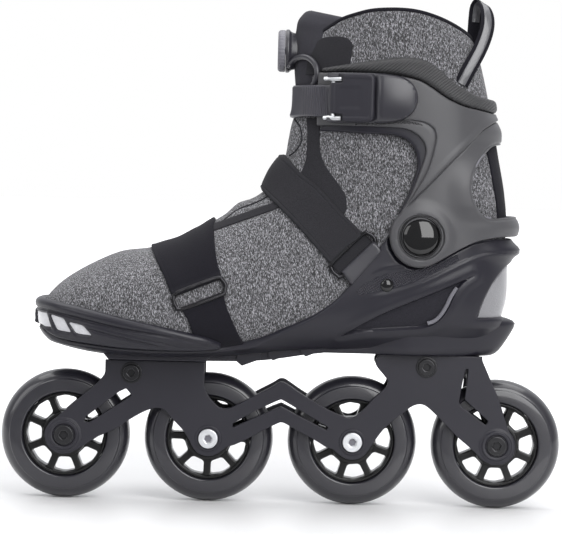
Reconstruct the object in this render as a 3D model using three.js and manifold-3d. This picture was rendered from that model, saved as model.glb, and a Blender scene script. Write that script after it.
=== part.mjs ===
// An inline skate for a left foot: a soft boot in a moulded shell with a pivoting cuff, on a two-plate
// frame with four 84 mm wheels in line. Millimetres, +Z up, toe towards -X, outer side of the foot
// towards -Y. The origin is on the ground under the middle of the wheel line.
import * as THREE from "three";
import { mergeVertices } from "three/addons/utils/BufferGeometryUtils.js";
import Module from "manifold-3d";

const wasm = await Module();
wasm.setup();

// ---------------------------------------------------------------- driving dimensions
const WHEEL_RADIUS = 42;
const AXLE_PITCH = 93.5;
const AXLE_X = [-1.5, -0.5, 0.5, 1.5].map((n) => n * AXLE_PITCH);
const TYRE_SEGMENTS = 24;
const HUB_SEGMENTS = 16;
const SPOKES = 8;
const BEARING = { outer: 10.85, bore: 4.4, inFace: 5.2, outFace: 11.9 };
const AXLE = { shank: 4, spacer: 5.2, head: 6.2, headOut: 19.2, headIn: 17, tip: 17.2 };
const PLATE = { inner: 13.6, outer: 17.1, bossIn: 12.4, bossOut: 18 };
const PIVOT = { x: 86, z: 177 }; // cuff hinge, along Y
const CUFF_FORWARD_DEG = 10; // lean range of the cuff that the split in the boot leaves room for
const GAP = 0.3;
const REACH = 200; // longer than the boot, for cutting prisms
const AROUND = 18; // points round each boot section
const FLAT_ENOUGH = 0.1; // edges that leave the surface by less than this are dropped

// ---------------------------------------------------------------- solids from three.js geometry
function solid(geometry) {
  const bare = new THREE.BufferGeometry().setAttribute("position", geometry.getAttribute("position"));
  if (geometry.index) bare.setIndex(geometry.index);
  const merged = mergeVertices(bare, 1e-3);
  const made = new wasm.Manifold(
    new wasm.Mesh({
      numProp: 3,
      vertProperties: new Float32Array(merged.attributes.position.array),
      triVerts: new Uint32Array(merged.index.array),
    }),
  );
  if (made.volume() > 0) return made;
  const flipped = new Uint32Array(merged.index.array);
  for (let i = 0; i < flipped.length; i += 3) [flipped[i + 1], flipped[i + 2]] = [flipped[i + 2], flipped[i + 1]];
  return new wasm.Manifold(
    new wasm.Mesh({
      numProp: 3,
      vertProperties: new Float32Array(merged.attributes.position.array),
      triVerts: flipped,
    }),
  );
}

function geometryOf(made) {
  const mesh = made.simplify(FLAT_ENOUGH).getMesh();
  const positions = new Float32Array(mesh.numVert * 3);
  for (let i = 0; i < mesh.numVert; i++) {
    positions.set(mesh.vertProperties.subarray(i * mesh.numProp, i * mesh.numProp + 3), i * 3);
  }
  const geometry = new THREE.BufferGeometry();
  geometry.setAttribute("position", new THREE.BufferAttribute(positions, 3));
  geometry.setIndex(new THREE.BufferAttribute(new Uint32Array(mesh.triVerts), 1));
  return geometry.toNonIndexed();
}

const biggest = (made) =>
  made.decompose().reduce((best, piece) => (piece.volume() > best.volume() ? piece : best));

// A closed outline in (x, z): straight runs and smooth runs. Each run is a list of points, and a run
// marked smooth passes through them as one curve.
function outline(runs, step = 3) {
  const points = [];
  for (const run of runs) {
    const at = run.points.map(([x, z]) => new THREE.Vector2(x, z));
    if (!run.smooth) {
      points.push(...at);
      continue;
    }
    const curve = new THREE.SplineCurve(at);
    points.push(...curve.getSpacedPoints(Math.max(2, Math.round(curve.getLength() / step))));
  }
  const apart = points.filter((p, i) => i === 0 || p.distanceTo(points[i - 1]) > 0.05);
  if (apart[0].distanceTo(apart.at(-1)) < 0.05) apart.pop();
  return new THREE.Shape(apart);
}

const line = (...points) => ({ points });
const curve = (...points) => ({ points, smooth: true });

// A prism: an (x, z) shape pushed along Y from y0 to y1.
function prism(shape, y0, y1) {
  const geometry = new THREE.ExtrudeGeometry(shape, { depth: y1 - y0, bevelEnabled: false, curveSegments: 8 });
  geometry.rotateX(Math.PI / 2);
  geometry.translate(0, y1, 0);
  return solid(geometry);
}

const through = (shape) => prism(shape, -REACH, REACH);

function rod(x, z, radius, y0, y1, segments = 12) {
  const geometry = new THREE.CylinderGeometry(radius, radius, y1 - y0, segments);
  geometry.rotateY(Math.PI / segments);
  geometry.translate(x, (y0 + y1) / 2, z);
  return solid(geometry);
}

function post(x, y, radius, z0, z1, segments = 12) {
  const geometry = new THREE.CylinderGeometry(radius, radius, z1 - z0, segments);
  geometry.rotateX(Math.PI / 2);
  geometry.translate(x, y, (z0 + z1) / 2);
  return solid(geometry);
}

function block(x0, x1, y0, y1, z0, z1) {
  const geometry = new THREE.BoxGeometry(x1 - x0, y1 - y0, z1 - z0);
  geometry.translate((x0 + x1) / 2, (y0 + y1) / 2, (z0 + z1) / 2);
  return solid(geometry);
}

// A body of revolution about Y from a closed (radius, y) profile, turned so that a facet is lowest.
function turned(profile, segments, x = 0, z = 0) {
  const grow = 1 / Math.cos(Math.PI / segments);
  const points = profile.map(([r, y]) => new THREE.Vector2(r * grow, y));
  if (profile[0][0] > 0) points.push(points[0].clone());
  const geometry = new THREE.LatheGeometry(points, segments);
  geometry.rotateY(Math.PI / segments);
  geometry.translate(x, 0, z);
  return solid(geometry);
}

// ---------------------------------------------------------------- the boot's form
// Sections of the boot from the toe to the rim. Each joins a point on the top and front line to a point
// on the sole and back line. width is half the section's width, shift moves it towards +Y, top and base
// are how square its upper and lower halves are, lean widens its lower half, and bow lifts its sides.
const SECTIONS = [
  { front: [-156, 126], back: [-155, 110], width: 13, shift: 6, top: 2.2, base: 2.4, lean: 0, bow: 0 },
  { front: [-152, 134], back: [-150, 103.5], width: 26, shift: 5.5, top: 2.3, base: 2.8, lean: 0.05, bow: 0 },
  { front: [-143, 142.5], back: [-138, 100.5], width: 37, shift: 4.5, top: 2.3, base: 3, lean: 0.08, bow: 0 },
  { front: [-127, 152], back: [-120, 98.5], width: 44.5, shift: 3, top: 2.3, base: 3.2, lean: 0.1, bow: 0 },
  { front: [-107, 160.5], back: [-98, 98], width: 48, shift: 1, top: 2.2, base: 3.2, lean: 0.1, bow: 0 },
  { front: [-86, 165.5], back: [-75, 98], width: 49, shift: -0.5, top: 2.1, base: 3.2, lean: 0.1, bow: 0 },
  { front: [-66, 172], back: [-50, 98.5], width: 47.5, shift: -1, top: 2.1, base: 3.2, lean: 0.1, bow: 0 },
  { front: [-46, 183], back: [-22, 101], width: 44.5, shift: -1, top: 2.1, base: 3, lean: 0.1, bow: 0 },
  { front: [-29, 194], back: [10, 104], width: 41.5, shift: -0.5, top: 2.1, base: 2.8, lean: 0.08, bow: 0 },
  { front: [-14.5, 205], back: [52, 105.5], width: 39.5, shift: 0, top: 2.2, base: 2.6, lean: 0.04, bow: 0 },
  { front: [-6, 216], back: [98, 106], width: 38.5, shift: 0, top: 2.3, base: 2.4, lean: 0, bow: 0 },
  { front: [-1.5, 227], back: [131, 113], width: 38.5, shift: 0, top: 2.3, base: 2.4, lean: 0, bow: 0 },
  { front: [0, 237], back: [142.5, 133], width: 39, shift: 0, top: 2.3, base: 2.4, lean: 0, bow: 0 },
  { front: [2.5, 246.5], back: [144, 158], width: 40, shift: 0, top: 2.3, base: 2.3, lean: 0, bow: 0 },
  { front: [4.5, 256], back: [144, 182], width: 41, shift: 0, top: 2.3, base: 2.3, lean: 0, bow: 0 },
  { front: [5, 266], back: [141, 206], width: 42, shift: 0, top: 2.3, base: 2.3, lean: 0, bow: 0 },
  { front: [4.5, 276], back: [136.5, 229], width: 43, shift: 0, top: 2.3, base: 2.3, lean: 0, bow: 0 },
  { front: [5, 286], back: [132.5, 250], width: 44, shift: 0, top: 2.3, base: 2.3, lean: 0, bow: 3 },
  { front: [6, 296], back: [129, 272], width: 44.5, shift: 0, top: 2.3, base: 2.3, lean: 0, bow: 8 },
  { front: [10, 304], back: [122, 300], width: 45, shift: 0, top: 2.3, base: 2.3, lean: 0, bow: 17 },
];
const ABOVE_RIM = { front: [10, 360], back: [122, 360], width: 45, shift: 0, top: 2.3, base: 2.3, lean: 0, bow: 0 };

const power = (value, exponent) => Math.sign(value) * Math.abs(value) ** exponent;

// One section's loop of points, grown by so much at its front, sides and back.
function loop(section, grow) {
  const front = new THREE.Vector2(...section.front);
  const back = new THREE.Vector2(...section.back);
  const along = back.clone().sub(front).normalize();
  front.addScaledVector(along, -grow.front);
  back.addScaledVector(along, grow.back);
  const middle = front.clone().add(back).multiplyScalar(0.5);
  const half = back.distanceTo(front) / 2;
  const normal = new THREE.Vector2(-along.y, along.x);
  const points = [];
  for (let i = 0; i < AROUND; i++) {
    const angle = (2 * Math.PI * (i + 0.5)) / AROUND;
    const square = Math.cos(angle) < 0 ? section.top : section.base;
    const c = power(Math.cos(angle), 2 / square);
    const s = power(Math.sin(angle), 2 / square);
    const lift = section.bow * (1 - c * c);
    const x = middle.x + along.x * half * c + normal.x * lift;
    const z = middle.y + along.y * half * c + normal.y * lift;
    const y = section.shift + (section.width + grow.side) * s * (1 + section.lean * c);
    points.push(new THREE.Vector3(x, y, z));
  }
  return points;
}

// The boot's form grown outwards, as a closed solid. open carries it up past the rim.
function form(front, side = front, back = side, open = false) {
  const sections = SECTIONS.map((s) => ({ ...s }));
  const toe = { ...sections[0] };
  toe.front = [toe.front[0] - front, toe.front[1]];
  toe.back = [toe.back[0] - front, toe.back[1]];
  sections[0] = toe;
  if (open) sections.push(ABOVE_RIM);
  const loops = sections.map((s) => loop(s, { front, side, back }));
  const triangles = [];
  const push = (...points) => points.forEach((p) => triangles.push(p.x, p.y, p.z));
  for (let j = 0; j + 1 < loops.length; j++) {
    for (let i = 0; i < AROUND; i++) {
      const k = (i + 1) % AROUND;
      push(loops[j][i], loops[j][k], loops[j + 1][k]);
      push(loops[j][i], loops[j + 1][k], loops[j + 1][i]);
    }
  }
  for (const [end, flip] of [[loops[0], true], [loops.at(-1), false]]) {
    const centre = end.reduce((sum, p) => sum.add(p), new THREE.Vector3()).multiplyScalar(1 / AROUND);
    for (let i = 0; i < AROUND; i++) {
      const k = (i + 1) % AROUND;
      if (flip) push(centre, end[k], end[i]);
      else push(centre, end[i], end[k]);
    }
  }
  const geometry = new THREE.BufferGeometry();
  geometry.setAttribute("position", new THREE.BufferAttribute(new Float32Array(triangles), 3));
  return solid(geometry);
}

const OUTER_SIDE = block(-REACH, REACH, -REACH, 0, 0, 2 * REACH); // room on the outer side of the foot

// A skin of the boot's form between two growths, kept where the (x, z) shape is.
const skin = (outer, inner, shape) => outer.subtract(inner).intersect(through(shape));

// ---------------------------------------------------------------- materials
const paint = (color, roughness, metalness = 0) => new THREE.MeshStandardMaterial({ color, roughness, metalness });
const MATERIALS = {
  textile: paint(0x6f6f72, 0.95),
  lining: paint(0x202124, 0.95),
  webbing: paint(0x232327, 0.85),
  shell: paint(0x2b2b2e, 0.45),
  cuff: paint(0x3c3c40, 0.5),
  trim: paint(0x35353a, 0.7),
  rubber: paint(0x1f1f22, 0.7),
  gloss: paint(0x0c0c0e, 0.08),
  frame: paint(0x2a2a2d, 0.4, 0.8),
  steel: paint(0xc9ccd0, 0.25, 1),
  blackSteel: paint(0x1a1a1c, 0.35, 0.8),
  tyre: paint(0x303034, 0.5),
  hub: paint(0x111113, 0.4),
  reflector: paint(0xb8b8bd, 0.3),
  dialGrey: paint(0x8b8b92, 0.5),
};

const skate = new THREE.Group();
function add(name, made, material) {
  const mesh = new THREE.Mesh(geometryOf(made), MATERIALS[material]);
  mesh.name = name;
  skate.add(mesh);
}

// ---------------------------------------------------------------- wheels
function tyre(x) {
  return turned(
    [
      [27.6, -11.8], [34, -11.8], [39.5, -8.6], [42, -2.5], [42, 2.5], [39.5, 8.6], [34, 11.8], [27.6, 11.8],
    ],
    TYRE_SEGMENTS, x, WHEEL_RADIUS,
  );
}

function hub(x) {
  let made = turned(
    [
      [11.2, -12], [14.2, -12], [14.2, -7], [26.8, -7], [26.8, 7], [14.2, 7],
      [14.2, 12], [11.2, 12], [11.2, 5], [9.5, 5], [9.5, -5], [11.2, -5],
    ],
    HUB_SEGMENTS,
  );
  const half = Math.PI / SPOKES - 0.13;
  const hole = new THREE.Shape();
  hole.moveTo(15.5 * Math.cos(half * 0.75), 15.5 * Math.sin(half * 0.75));
  hole.lineTo(15.5 * Math.cos(half * 0.75), -15.5 * Math.sin(half * 0.75));
  hole.lineTo(24.4 * Math.cos(half), -24.4 * Math.sin(half));
  hole.lineTo(24.4 * Math.cos(half), 24.4 * Math.sin(half));
  for (let i = 0; i < SPOKES; i++) {
    const geometry = new THREE.ExtrudeGeometry(hole, { depth: 30, bevelEnabled: false });
    geometry.rotateX(Math.PI / 2);
    geometry.translate(0, 15, 0);
    geometry.rotateY((2 * Math.PI * i) / SPOKES);
    made = made.subtract(solid(geometry));
  }
  return made.translate([x, 0, WHEEL_RADIUS]);
}

function bearing(x, side) {
  const { outer, bore, inFace, outFace } = BEARING;
  const near = Math.min(side * inFace, side * outFace);
  const far = Math.max(side * inFace, side * outFace);
  return turned([[bore, near], [outer, near], [outer, far], [bore, far]], HUB_SEGMENTS, x, WHEEL_RADIUS);
}

function axle(x) {
  const { shank, spacer, head, headOut, headIn, tip } = AXLE;
  return turned(
    [
      [0, -headOut + 2], [2.6, -headOut + 2], [2.6, -headOut], [head, -headOut], [head, -headIn], [shank, -headIn],
      [shank, -4.9], [spacer, -4.9], [spacer, 4.9], [shank, 4.9], [shank, tip], [0, tip],
    ],
    12, x, WHEEL_RADIUS,
  );
}

AXLE_X.forEach((x, i) => {
  add(`tyre_${i + 1}`, tyre(x), "tyre");
  add(`hub_${i + 1}`, hub(x), "hub");
  add(`bearing_outer_side_${i + 1}`, bearing(x, -1), "steel");
  add(`bearing_inner_side_${i + 1}`, bearing(x, 1), "steel");
  add(`axle_${i + 1}`, axle(x), i === 1 || i === 2 ? "steel" : "blackSteel");
});

// ---------------------------------------------------------------- frame
const CROSS_BOLTS = [[-97.5, 83.5], [93.5, 92]];
const SOLE_BOLTS = [{ x: -68, under: 86, tip: 96.6 }, { x: 116, under: 88, tip: 104.2 }];

function plateShape() {
  const shape = outline([
    line([-114, 91.7], [-114, 84]),
    curve([-116, 80], [-124, 72.5], [-140, 59], [-149, 51.5], [-152.6, 44], [-150.5, 35], [-143, 30], [-134, 30.8]),
    curve([-126, 38], [-104, 49.5], [-86, 59.8], [-80, 61.3], [-73, 58], [-66, 49.5], [-58, 37]),
    curve([-54.5, 32.5], [-46.75, 30], [-38, 32.8], [-26, 40], [-10, 49.5], [0, 53.5]),
    curve([10, 49.5], [26, 40], [38, 32.8], [46.75, 30], [55, 32.5]),
    curve([61, 41], [72, 56], [84, 66], [90, 67.8], [97, 64.8], [110, 52], [124, 39], [134, 30.8]),
    curve([143, 30], [150.5, 35], [152.6, 44], [149, 52], [141, 72], [133, 90], [129.7, 99.7]),
    line([64, 99.7], [60.5, 96], [61.5, 91], [69, 82]),
    curve([66, 77], [56, 66], [49, 59], [44, 57.5], [38, 59.5], [15, 71.5], [3, 79], [0, 80]),
    curve([-3, 79], [-15, 72.5], [-33, 62.5], [-39, 62.5], [-45, 67], [-50, 75]),
    line([-50, 91.7]),
  ], 12);
  shape.holes.push(
    outline([line([-127, 50.5], [-97, 69], [-100.5, 73.2], [-105, 70.8], [-126.5, 53.5])]),
    outline([
      line([-31, 49.5], [-5, 62], [0, 64], [5, 62], [30, 49.5], [31, 51.5], [5, 66.5], [0, 68.6], [-5, 66.5], [-31, 52]),
    ]),
    outline([line([118.8, 91.5], [120.6, 91.5], [119.3, 79], [118.6, 71.5], [134.5, 57.5], [133, 55.5], [115.4, 69])]),
  );
  return shape;
}

function framePlate(side) {
  const span = (a, b) => [Math.min(side * a, side * b), Math.max(side * a, side * b)];
  let made = prism(plateShape(), ...span(PLATE.inner, PLATE.outer));
  AXLE_X.forEach((x, i) => {
    const ends = i === 0 || i === 3;
    made = made.add(rod(x, WHEEL_RADIUS, 7, ...span(PLATE.bossIn, PLATE.inner + 1)));
    made = made.add(rod(x, WHEEL_RADIUS, ends ? 11.5 : 9.5, ...span(PLATE.outer - 1, PLATE.bossOut), 16));
    made = made.subtract(rod(x, WHEEL_RADIUS, 6.9, ...span(AXLE.headIn - GAP, 25)));
    made = made.subtract(rod(x, WHEEL_RADIUS, AXLE.shank + 0.45, ...span(0, 25)));
  });
  for (const [x, z] of CROSS_BOLTS) made = made.subtract(rod(x, z, 3.4, ...span(0, 25)));
  return made;
}

function mountBlock(shape, bolt, cross) {
  return prism(shape, -PLATE.inner + GAP, PLATE.inner - GAP)
    .subtract(rod(...cross, 3.4, -25, 25))
    .subtract(post(bolt.x, 0, 3.4, 60, 120));
}

function crossBolt([x, z]) {
  return turned(
    [[0, -17.6], [2.4, -17.6], [2.4, -19.4], [5.6, -19.4], [5.6, -17.4], [3, -17.4], [3, 17.4], [5, 17.4], [5, 19.2], [0, 19.2]],
    10, x, z,
  );
}

const soleBolt = ({ x, under, tip }) =>
  post(x, 0, 5.2, under - 4, under - GAP).add(post(x, 0, 3, under - 2, tip));

add("frame_plate_outer", framePlate(-1), "frame");
add("frame_plate_inner", framePlate(1), "frame");
add("mount_block_front", mountBlock(
  outline([line([-112, 92.2], [-112, 82], [-106, 76], [-85, 76], [-76, 86], [-52, 86], [-52, 92.2])]),
  SOLE_BOLTS[0], CROSS_BOLTS[0]), "frame");
add("mount_block_rear", mountBlock(
  outline([line([64, 99.8], [64, 88], [82, 83], [104, 83], [108, 88], [127, 88], [127, 99.8])]),
  SOLE_BOLTS[1], CROSS_BOLTS[1]), "frame");
add("cross_bolt_front", crossBolt(CROSS_BOLTS[0]), "blackSteel");
add("cross_bolt_rear", crossBolt(CROSS_BOLTS[1]), "blackSteel");
add("sole_bolt_front", soleBolt(SOLE_BOLTS[0]), "blackSteel");
add("sole_bolt_rear", soleBolt(SOLE_BOLTS[1]), "blackSteel");

// ---------------------------------------------------------------- boot forms that several parts share
const WALL = 5;
const SHELL_IN = 0.5;
const SHELL_OUT = 4;
const CUFF_IN = 4.6;
const CUFF_OUT = 8.2;
const bootOuter = form(0);
const bootInner = form(-WALL, -WALL, -WALL, true);
const shellInner = form(SHELL_IN, SHELL_IN, SHELL_IN, true);
const cuffInner = form(0, CUFF_IN, CUFF_IN, true);
const cuffOuter = form(2.2, CUFF_OUT, 6.4, true);

// ---------------------------------------------------------------- shell
function shellShape() {
  return outline([
    curve(
      [-160, 112], [-150, 106], [-138, 102.3], [-100, 98.8], [-62, 98.4], [-40, 100.4], [-20, 104.8], [0, 114],
      [20, 124], [32, 133], [42, 145],
    ),
    curve([60, 168], [67, 180], [76, 191], [88, 194.5], [99, 189], [104, 179], [106, 168.3]),
    curve([106, 168.3], [113, 171.6], [122, 175], [132, 176.3], [170, 176.3]),
    line([170, 161.5]),
    curve([150, 161.5], [142, 158.5], [134, 151], [128, 138], [124.5, 126.3]),
    line([170, 127], [170, 80], [-170, 80]),
  ]);
}

function soleShell() {
  const outer = form(SHELL_OUT, SHELL_OUT, 5.6);
  const bumperRoom = block(-200, -118, -100, 100, 105, 140);
  const pads = block(-114, -48, -30, 30, 92.5, 97).add(block(62, 130, -30, 30, 100.1, 105));
  let made = outer.add(pads.subtract(form(0))).subtract(shellInner).intersect(through(shellShape()));
  const lug = (x, z) => outline([line([x - 5, z + 5], [x, z - 1.5], [x + 7, z + 1], [x + 7, z + 5])]);
  for (const [x, z] of [[-24, 91.5], [-1, 95.2], [22, 98]]) {
    made = made.add(prism(lug(x, z), -27, 27).subtract(shellInner));
  }
  made = made.subtract(bumperRoom).subtract(block(-200, 200, -60, 60, 60, 89.9));
  made = made.subtract(block(-114, -48, -60, 60, 60, 92.5)).subtract(block(58, 132, -60, 60, 60, 100.1));
  made = made.subtract(rod(PIVOT.x, PIVOT.z, 4.4, -100, 100));
  for (const { x, tip } of SOLE_BOLTS) made = made.subtract(post(x, 0, 3.4, 60, tip + 0.4));
  return biggest(made);
}

// The strip of reflector round the toe, seen through the bumper's windows, or the room it lies in.
function reflectorBand(room) {
  const shape = outline([
    line([-175, 120.5 + room], [-122 + room, 118.5 + room], [-122 + room, 106.2 - room], [-175, 108.5 - room]),
  ]);
  return skin(form(3.3 + room, 3.3 + room, 3), form(1.2 - room), shape);
}

function toeBumper() {
  const shape = outline([
    line([-175, 131.5]),
    curve([-158, 131.5], [-140, 128.5], [-120, 124.6], [-100, 120.2], [-80, 115.6], [-60, 110.5], [-41, 104.2]),
    curve([-41, 101], [-62, 98.9], [-100, 99.3], [-138, 102.9], [-150, 106.6], [-160, 112.7]),
    line([-175, 116]),
  ]);
  const window = (x) => through(outline([line([x, 118.5], [x + 9, 117.5], [x + 13, 109.5], [x + 4, 110.5])]));
  const noseWindow = block(-REACH, -152, 9, 34, 112, 120);
  let made = skin(form(5.5, 4.6, 5.6), shellInner, shape).subtract(reflectorBand(GAP));
  made = made.subtract(noseWindow).subtract(noseWindow.mirror([0, 1, 0]));
  for (const x of [-149, -137.5]) made = made.subtract(window(x));
  return biggest(made);
}

add("sole_shell", soleShell(), "shell");
add("toe_bumper", toeBumper(), "shell");

// ---------------------------------------------------------------- soft boot
const SECTOR = 300; // length of the rays that part the foot from the ankle
const FOOT_FRONT_DEG = 153; // the foot part ends on this ray from the cuff's hinge
const ANKLE_FRONT_DEG = FOOT_FRONT_DEG - CUFF_FORWARD_DEG - 2;
const TONGUE_HALF = 23.6;
const TONGUE_BACK = 23.6;

function ray(degrees) {
  const angle = (degrees * Math.PI) / 180;
  return [PIVOT.x + SECTOR * Math.cos(angle), PIVOT.z + SECTOR * Math.sin(angle)];
}

const footShape = () =>
  outline([line(ray(FOOT_FRONT_DEG), [-250, 60], [250, 60], ray(-3.5), [PIVOT.x, PIVOT.z])]);
const ankleShape = () =>
  outline([line([PIVOT.x, PIVOT.z + 1], ray(0.5), [300, 400], [-200, 400], ray(ANKLE_FRONT_DEG))]);

const bootHollow = bootInner.intersect(block(-REACH, REACH, -100, 100, 102.8, 400));

const footUpper = () => biggest(skin(bootOuter, bootHollow, footShape()));

function ankleUpper() {
  const slot = block(-60, TONGUE_BACK + GAP, -TONGUE_HALF - GAP, TONGUE_HALF + GAP, 150, 400);
  return biggest(skin(bootOuter, bootInner, ankleShape()).subtract(slot));
}

function tongue() {
  const top = outline([
    line([-60, 100], [-60, 300]),
    curve([3, 306], [5, 312], [8, 318], [12, 321.3], [17, 319.5], [24, 315.5]),
    line([40, 315], [40, 100]),
  ]);
  const slab = skin(form(1, 1, 1, true), form(-6, -6, -6, true), ankleShape());
  const front = block(-60, TONGUE_BACK, -TONGUE_HALF, TONGUE_HALF, 150, 400);
  return biggest(slab.intersect(front).intersect(through(top)));
}

function insole() {
  const top = outline([
    curve(
      [-160, 112], [-130, 108], [-90, 106.5], [-50, 107.5], [-20, 110.5], [10, 113.5], [60, 115.5], [110, 117],
      [140, 124],
    ),
    line([140, 80], [-160, 80]),
  ]);
  const under = block(-149, REACH, -100, 100, 103.1, 130);
  return biggest(form(-WALL - 1).intersect(under).intersect(through(top)));
}

add("insole", insole(), "lining");
add("foot_upper", footUpper(), "textile");
add("ankle_upper", ankleUpper(), "textile");
add("tongue", tongue(), "lining");

// ---------------------------------------------------------------- cuff and its trim
function cuffShape() {
  return outline([
    curve([18, 243], [40, 241.5], [60, 240.5], [72, 239], [80, 236.5], [84, 231], [82, 222], [79, 212], [75.5, 202]),
    curve([68, 189], [66, 178], [68.5, 167], [76, 159.8], [86, 157.5]),
    curve([95, 162.5], [110, 171.8], [120, 176.1], [132, 177.9], [170, 177.9]),
    line([170, 189.5]),
    curve([140, 189.5], [130, 188.6], [124, 193], [119, 203], [118, 212], [122, 222], [130, 232], [140, 236.5]),
    line([170, 236.5], [170, 258]),
    curve(
      [131, 257], [120, 258.5], [110, 260.5], [100, 265], [90, 271.5], [82, 276], [70, 278.5], [45, 279.5],
      [18, 280],
    ),
  ], 5);
}

function trimShape() {
  return outline([
    curve(
      [28, 280.3], [45, 279.9], [70, 278.9], [82, 276.4], [90, 271.9], [100, 265.4], [110, 260.9], [120, 258.9],
      [131, 257.4],
    ),
    line([170, 258.4], [170, 267]),
    curve(
      [128, 267], [120, 267.6], [110, 271.5], [103, 276], [95, 283], [88, 288], [80, 290], [70, 290], [55, 288.6],
      [40, 286], [28, 283.5],
    ),
  ], 5);
}

const BOSS = { radius: 19.5, out: 50.4 };

function cuff() {
  let made = skin(cuffOuter, cuffInner, cuffShape());
  for (const side of [-1, 1]) {
    const span = (a, b) => [Math.min(side * a, side * b), Math.max(side * a, side * b)];
    made = made.add(rod(PIVOT.x, PIVOT.z, BOSS.radius, ...span(30, BOSS.out), 24).subtract(cuffInner));
    made = made.subtract(rod(PIVOT.x, PIVOT.z, 4.4, ...span(30, 70)));
  }
  return biggest(made);
}

add("cuff", cuff(), "cuff");
add("cuff_trim", biggest(skin(form(2, 7.8, 6), cuffInner, trimShape())), "trim");

// The screw the cuff turns on: a shank through cuff and shell under a domed cap.
function pivotScrew(side) {
  const made = turned(
    [[0, 41.2], [4, 41.2], [4, 50.7], [13.3, 50.7], [13.3, 52.6], [11.6, 54.6], [7, 56.4], [0, 57]],
    24, PIVOT.x, PIVOT.z,
  );
  return side > 0 ? made : made.mirror([0, 1, 0]);
}

add("pivot_screw_outer", pivotScrew(-1), "gloss");
add("pivot_screw_inner", pivotScrew(1), "gloss");

// ---------------------------------------------------------------- reflectors
function heelReflector() {
  const shape = outline([
    line([160, 127.4], [125.2, 126.8]),
    curve([128.6, 138], [134.4, 150.6], [142, 158], [150, 161]),
    line([160, 161]),
  ]);
  return biggest(skin(form(3, 3, 2.6), form(0.4), shape));
}

add("toe_reflector", biggest(reflectorBand(0)), "reflector");
add("heel_reflector", heelReflector(), "reflector");

// ---------------------------------------------------------------- straps over the foot
// A strap: the boot's form between two growths, kept inside an (x, z) outline.
const strap = (shape, under, over) => biggest(skin(form(over), form(under), shape));

// A wire ring seen from the side as a rounded rectangle tilted about Y.
function wireRing(x, z, y, length, height, wire, tilt) {
  const rounded = (l, h, r) => {
    const shape = new THREE.Shape();
    shape.absarc(l / 2 - r, h / 2 - r, r, 0, Math.PI / 2);
    shape.absarc(-l / 2 + r, h / 2 - r, r, Math.PI / 2, Math.PI);
    shape.absarc(-l / 2 + r, -h / 2 + r, r, Math.PI, 1.5 * Math.PI);
    shape.absarc(l / 2 - r, -h / 2 + r, r, 1.5 * Math.PI, 2 * Math.PI);
    return shape;
  };
  const shape = rounded(length, height, 4);
  shape.holes.push(rounded(length - 2 * wire, height - 2 * wire, 2.5));
  const geometry = new THREE.ExtrudeGeometry(shape, { depth: wire, bevelEnabled: false, curveSegments: 4 });
  geometry.rotateX(Math.PI / 2);
  geometry.rotateY((-tilt * Math.PI) / 180);
  geometry.translate(x, y, z);
  return solid(geometry);
}

const RING_WIRE = 2.2;

function foreStrap() {
  const upper = outline([
    line([-86, 166], [-80, 154], [-70, 140], [-68, 134.5], [-40, 146], [-41, 150], [-44, 160], [-47, 184], [-70, 184]),
  ]);
  const lower = outline([
    line([-65, 129], [-60, 119.5], [-57.5, 112.5], [-27.5, 112.5], [-32, 120], [-36, 131], [-38.5, 140.5]),
  ]);
  const side = (shape) => skin(form(2.4), form(GAP), shape);
  return { over: biggest(side(upper)), anchor: biggest(side(lower).intersect(OUTER_SIDE)) };
}

function instepStrap() {
  const shape = outline([
    line([-17.5, 205]),
    curve([2, 187], [10, 179], [20, 168], [34, 156]),
    line([51, 176.5]),
    curve([45, 183], [35, 191], [20, 207], [10, 214], [-2, 226]),
    line([-10, 230]),
  ], 12);
  return strap(shape, GAP, 2.4);
}

const instepAnchor = () =>
  skin(form(6), form(4.3), outline([line([38, 152.5], [43, 146], [61, 169.5], [57, 174.5])])).intersect(OUTER_SIDE);

add("forefoot_strap", foreStrap().over, "webbing");
add("forefoot_anchor", foreStrap().anchor, "webbing");
add("forefoot_ring", wireRing(-53.5, 137.5, -53.4, 34, 12, RING_WIRE, -22), "blackSteel");
add("instep_strap", instepStrap(), "webbing");
add("instep_anchor", biggest(instepAnchor()), "webbing");
add("instep_ring", wireRing(44, 166, -50.8, 34, 12, RING_WIRE, 50), "blackSteel");

// ---------------------------------------------------------------- buckle
const STRAP_UNDER = 8.5; // the ladder strap lies this far off the boot's form at its sides
const PIN = { x: 28, y: -49.8, radius: 1.4, low: 249.5, high: 278.5, nose: 3 };
const wrap = (front, side) => form(front, side, side);

function ladderStrap() {
  const shape = outline([line([-20, 252], [36, 252], [36, 271.6], [-20, 271.6])]);
  return biggest(skin(wrap(4, STRAP_UNDER + 1.9), wrap(2.5, STRAP_UNDER), shape));
}

function buckleBase() {
  const rim = outline([
    line([23, 248.6]),
    curve([62, 248.6], [73, 250.5], [80, 256.5], [82, 264.5], [80, 272], [73, 277.6], [62, 279.4]),
    line([23, 279.4]),
  ]);
  const plate = skin(wrap(4.2, STRAP_UNDER + 2.1), wrap(2.5, STRAP_UNDER), rim);
  const strapRoom = block(0, 36.4, -100, 100, 251.7, 271.9);
  let made = plate.subtract(strapRoom).intersect(OUTER_SIDE);
  for (const z of [249, 276.2]) {
    made = made.add(block(25, 31, PIN.y - 2.6, PIN.y + 8, z, z + 2.8).subtract(wrap(2.5, STRAP_UNDER)));
  }
  return biggest(made.subtract(post(PIN.x, PIN.y, PIN.radius + 0.2, 240, 290)));
}

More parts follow.
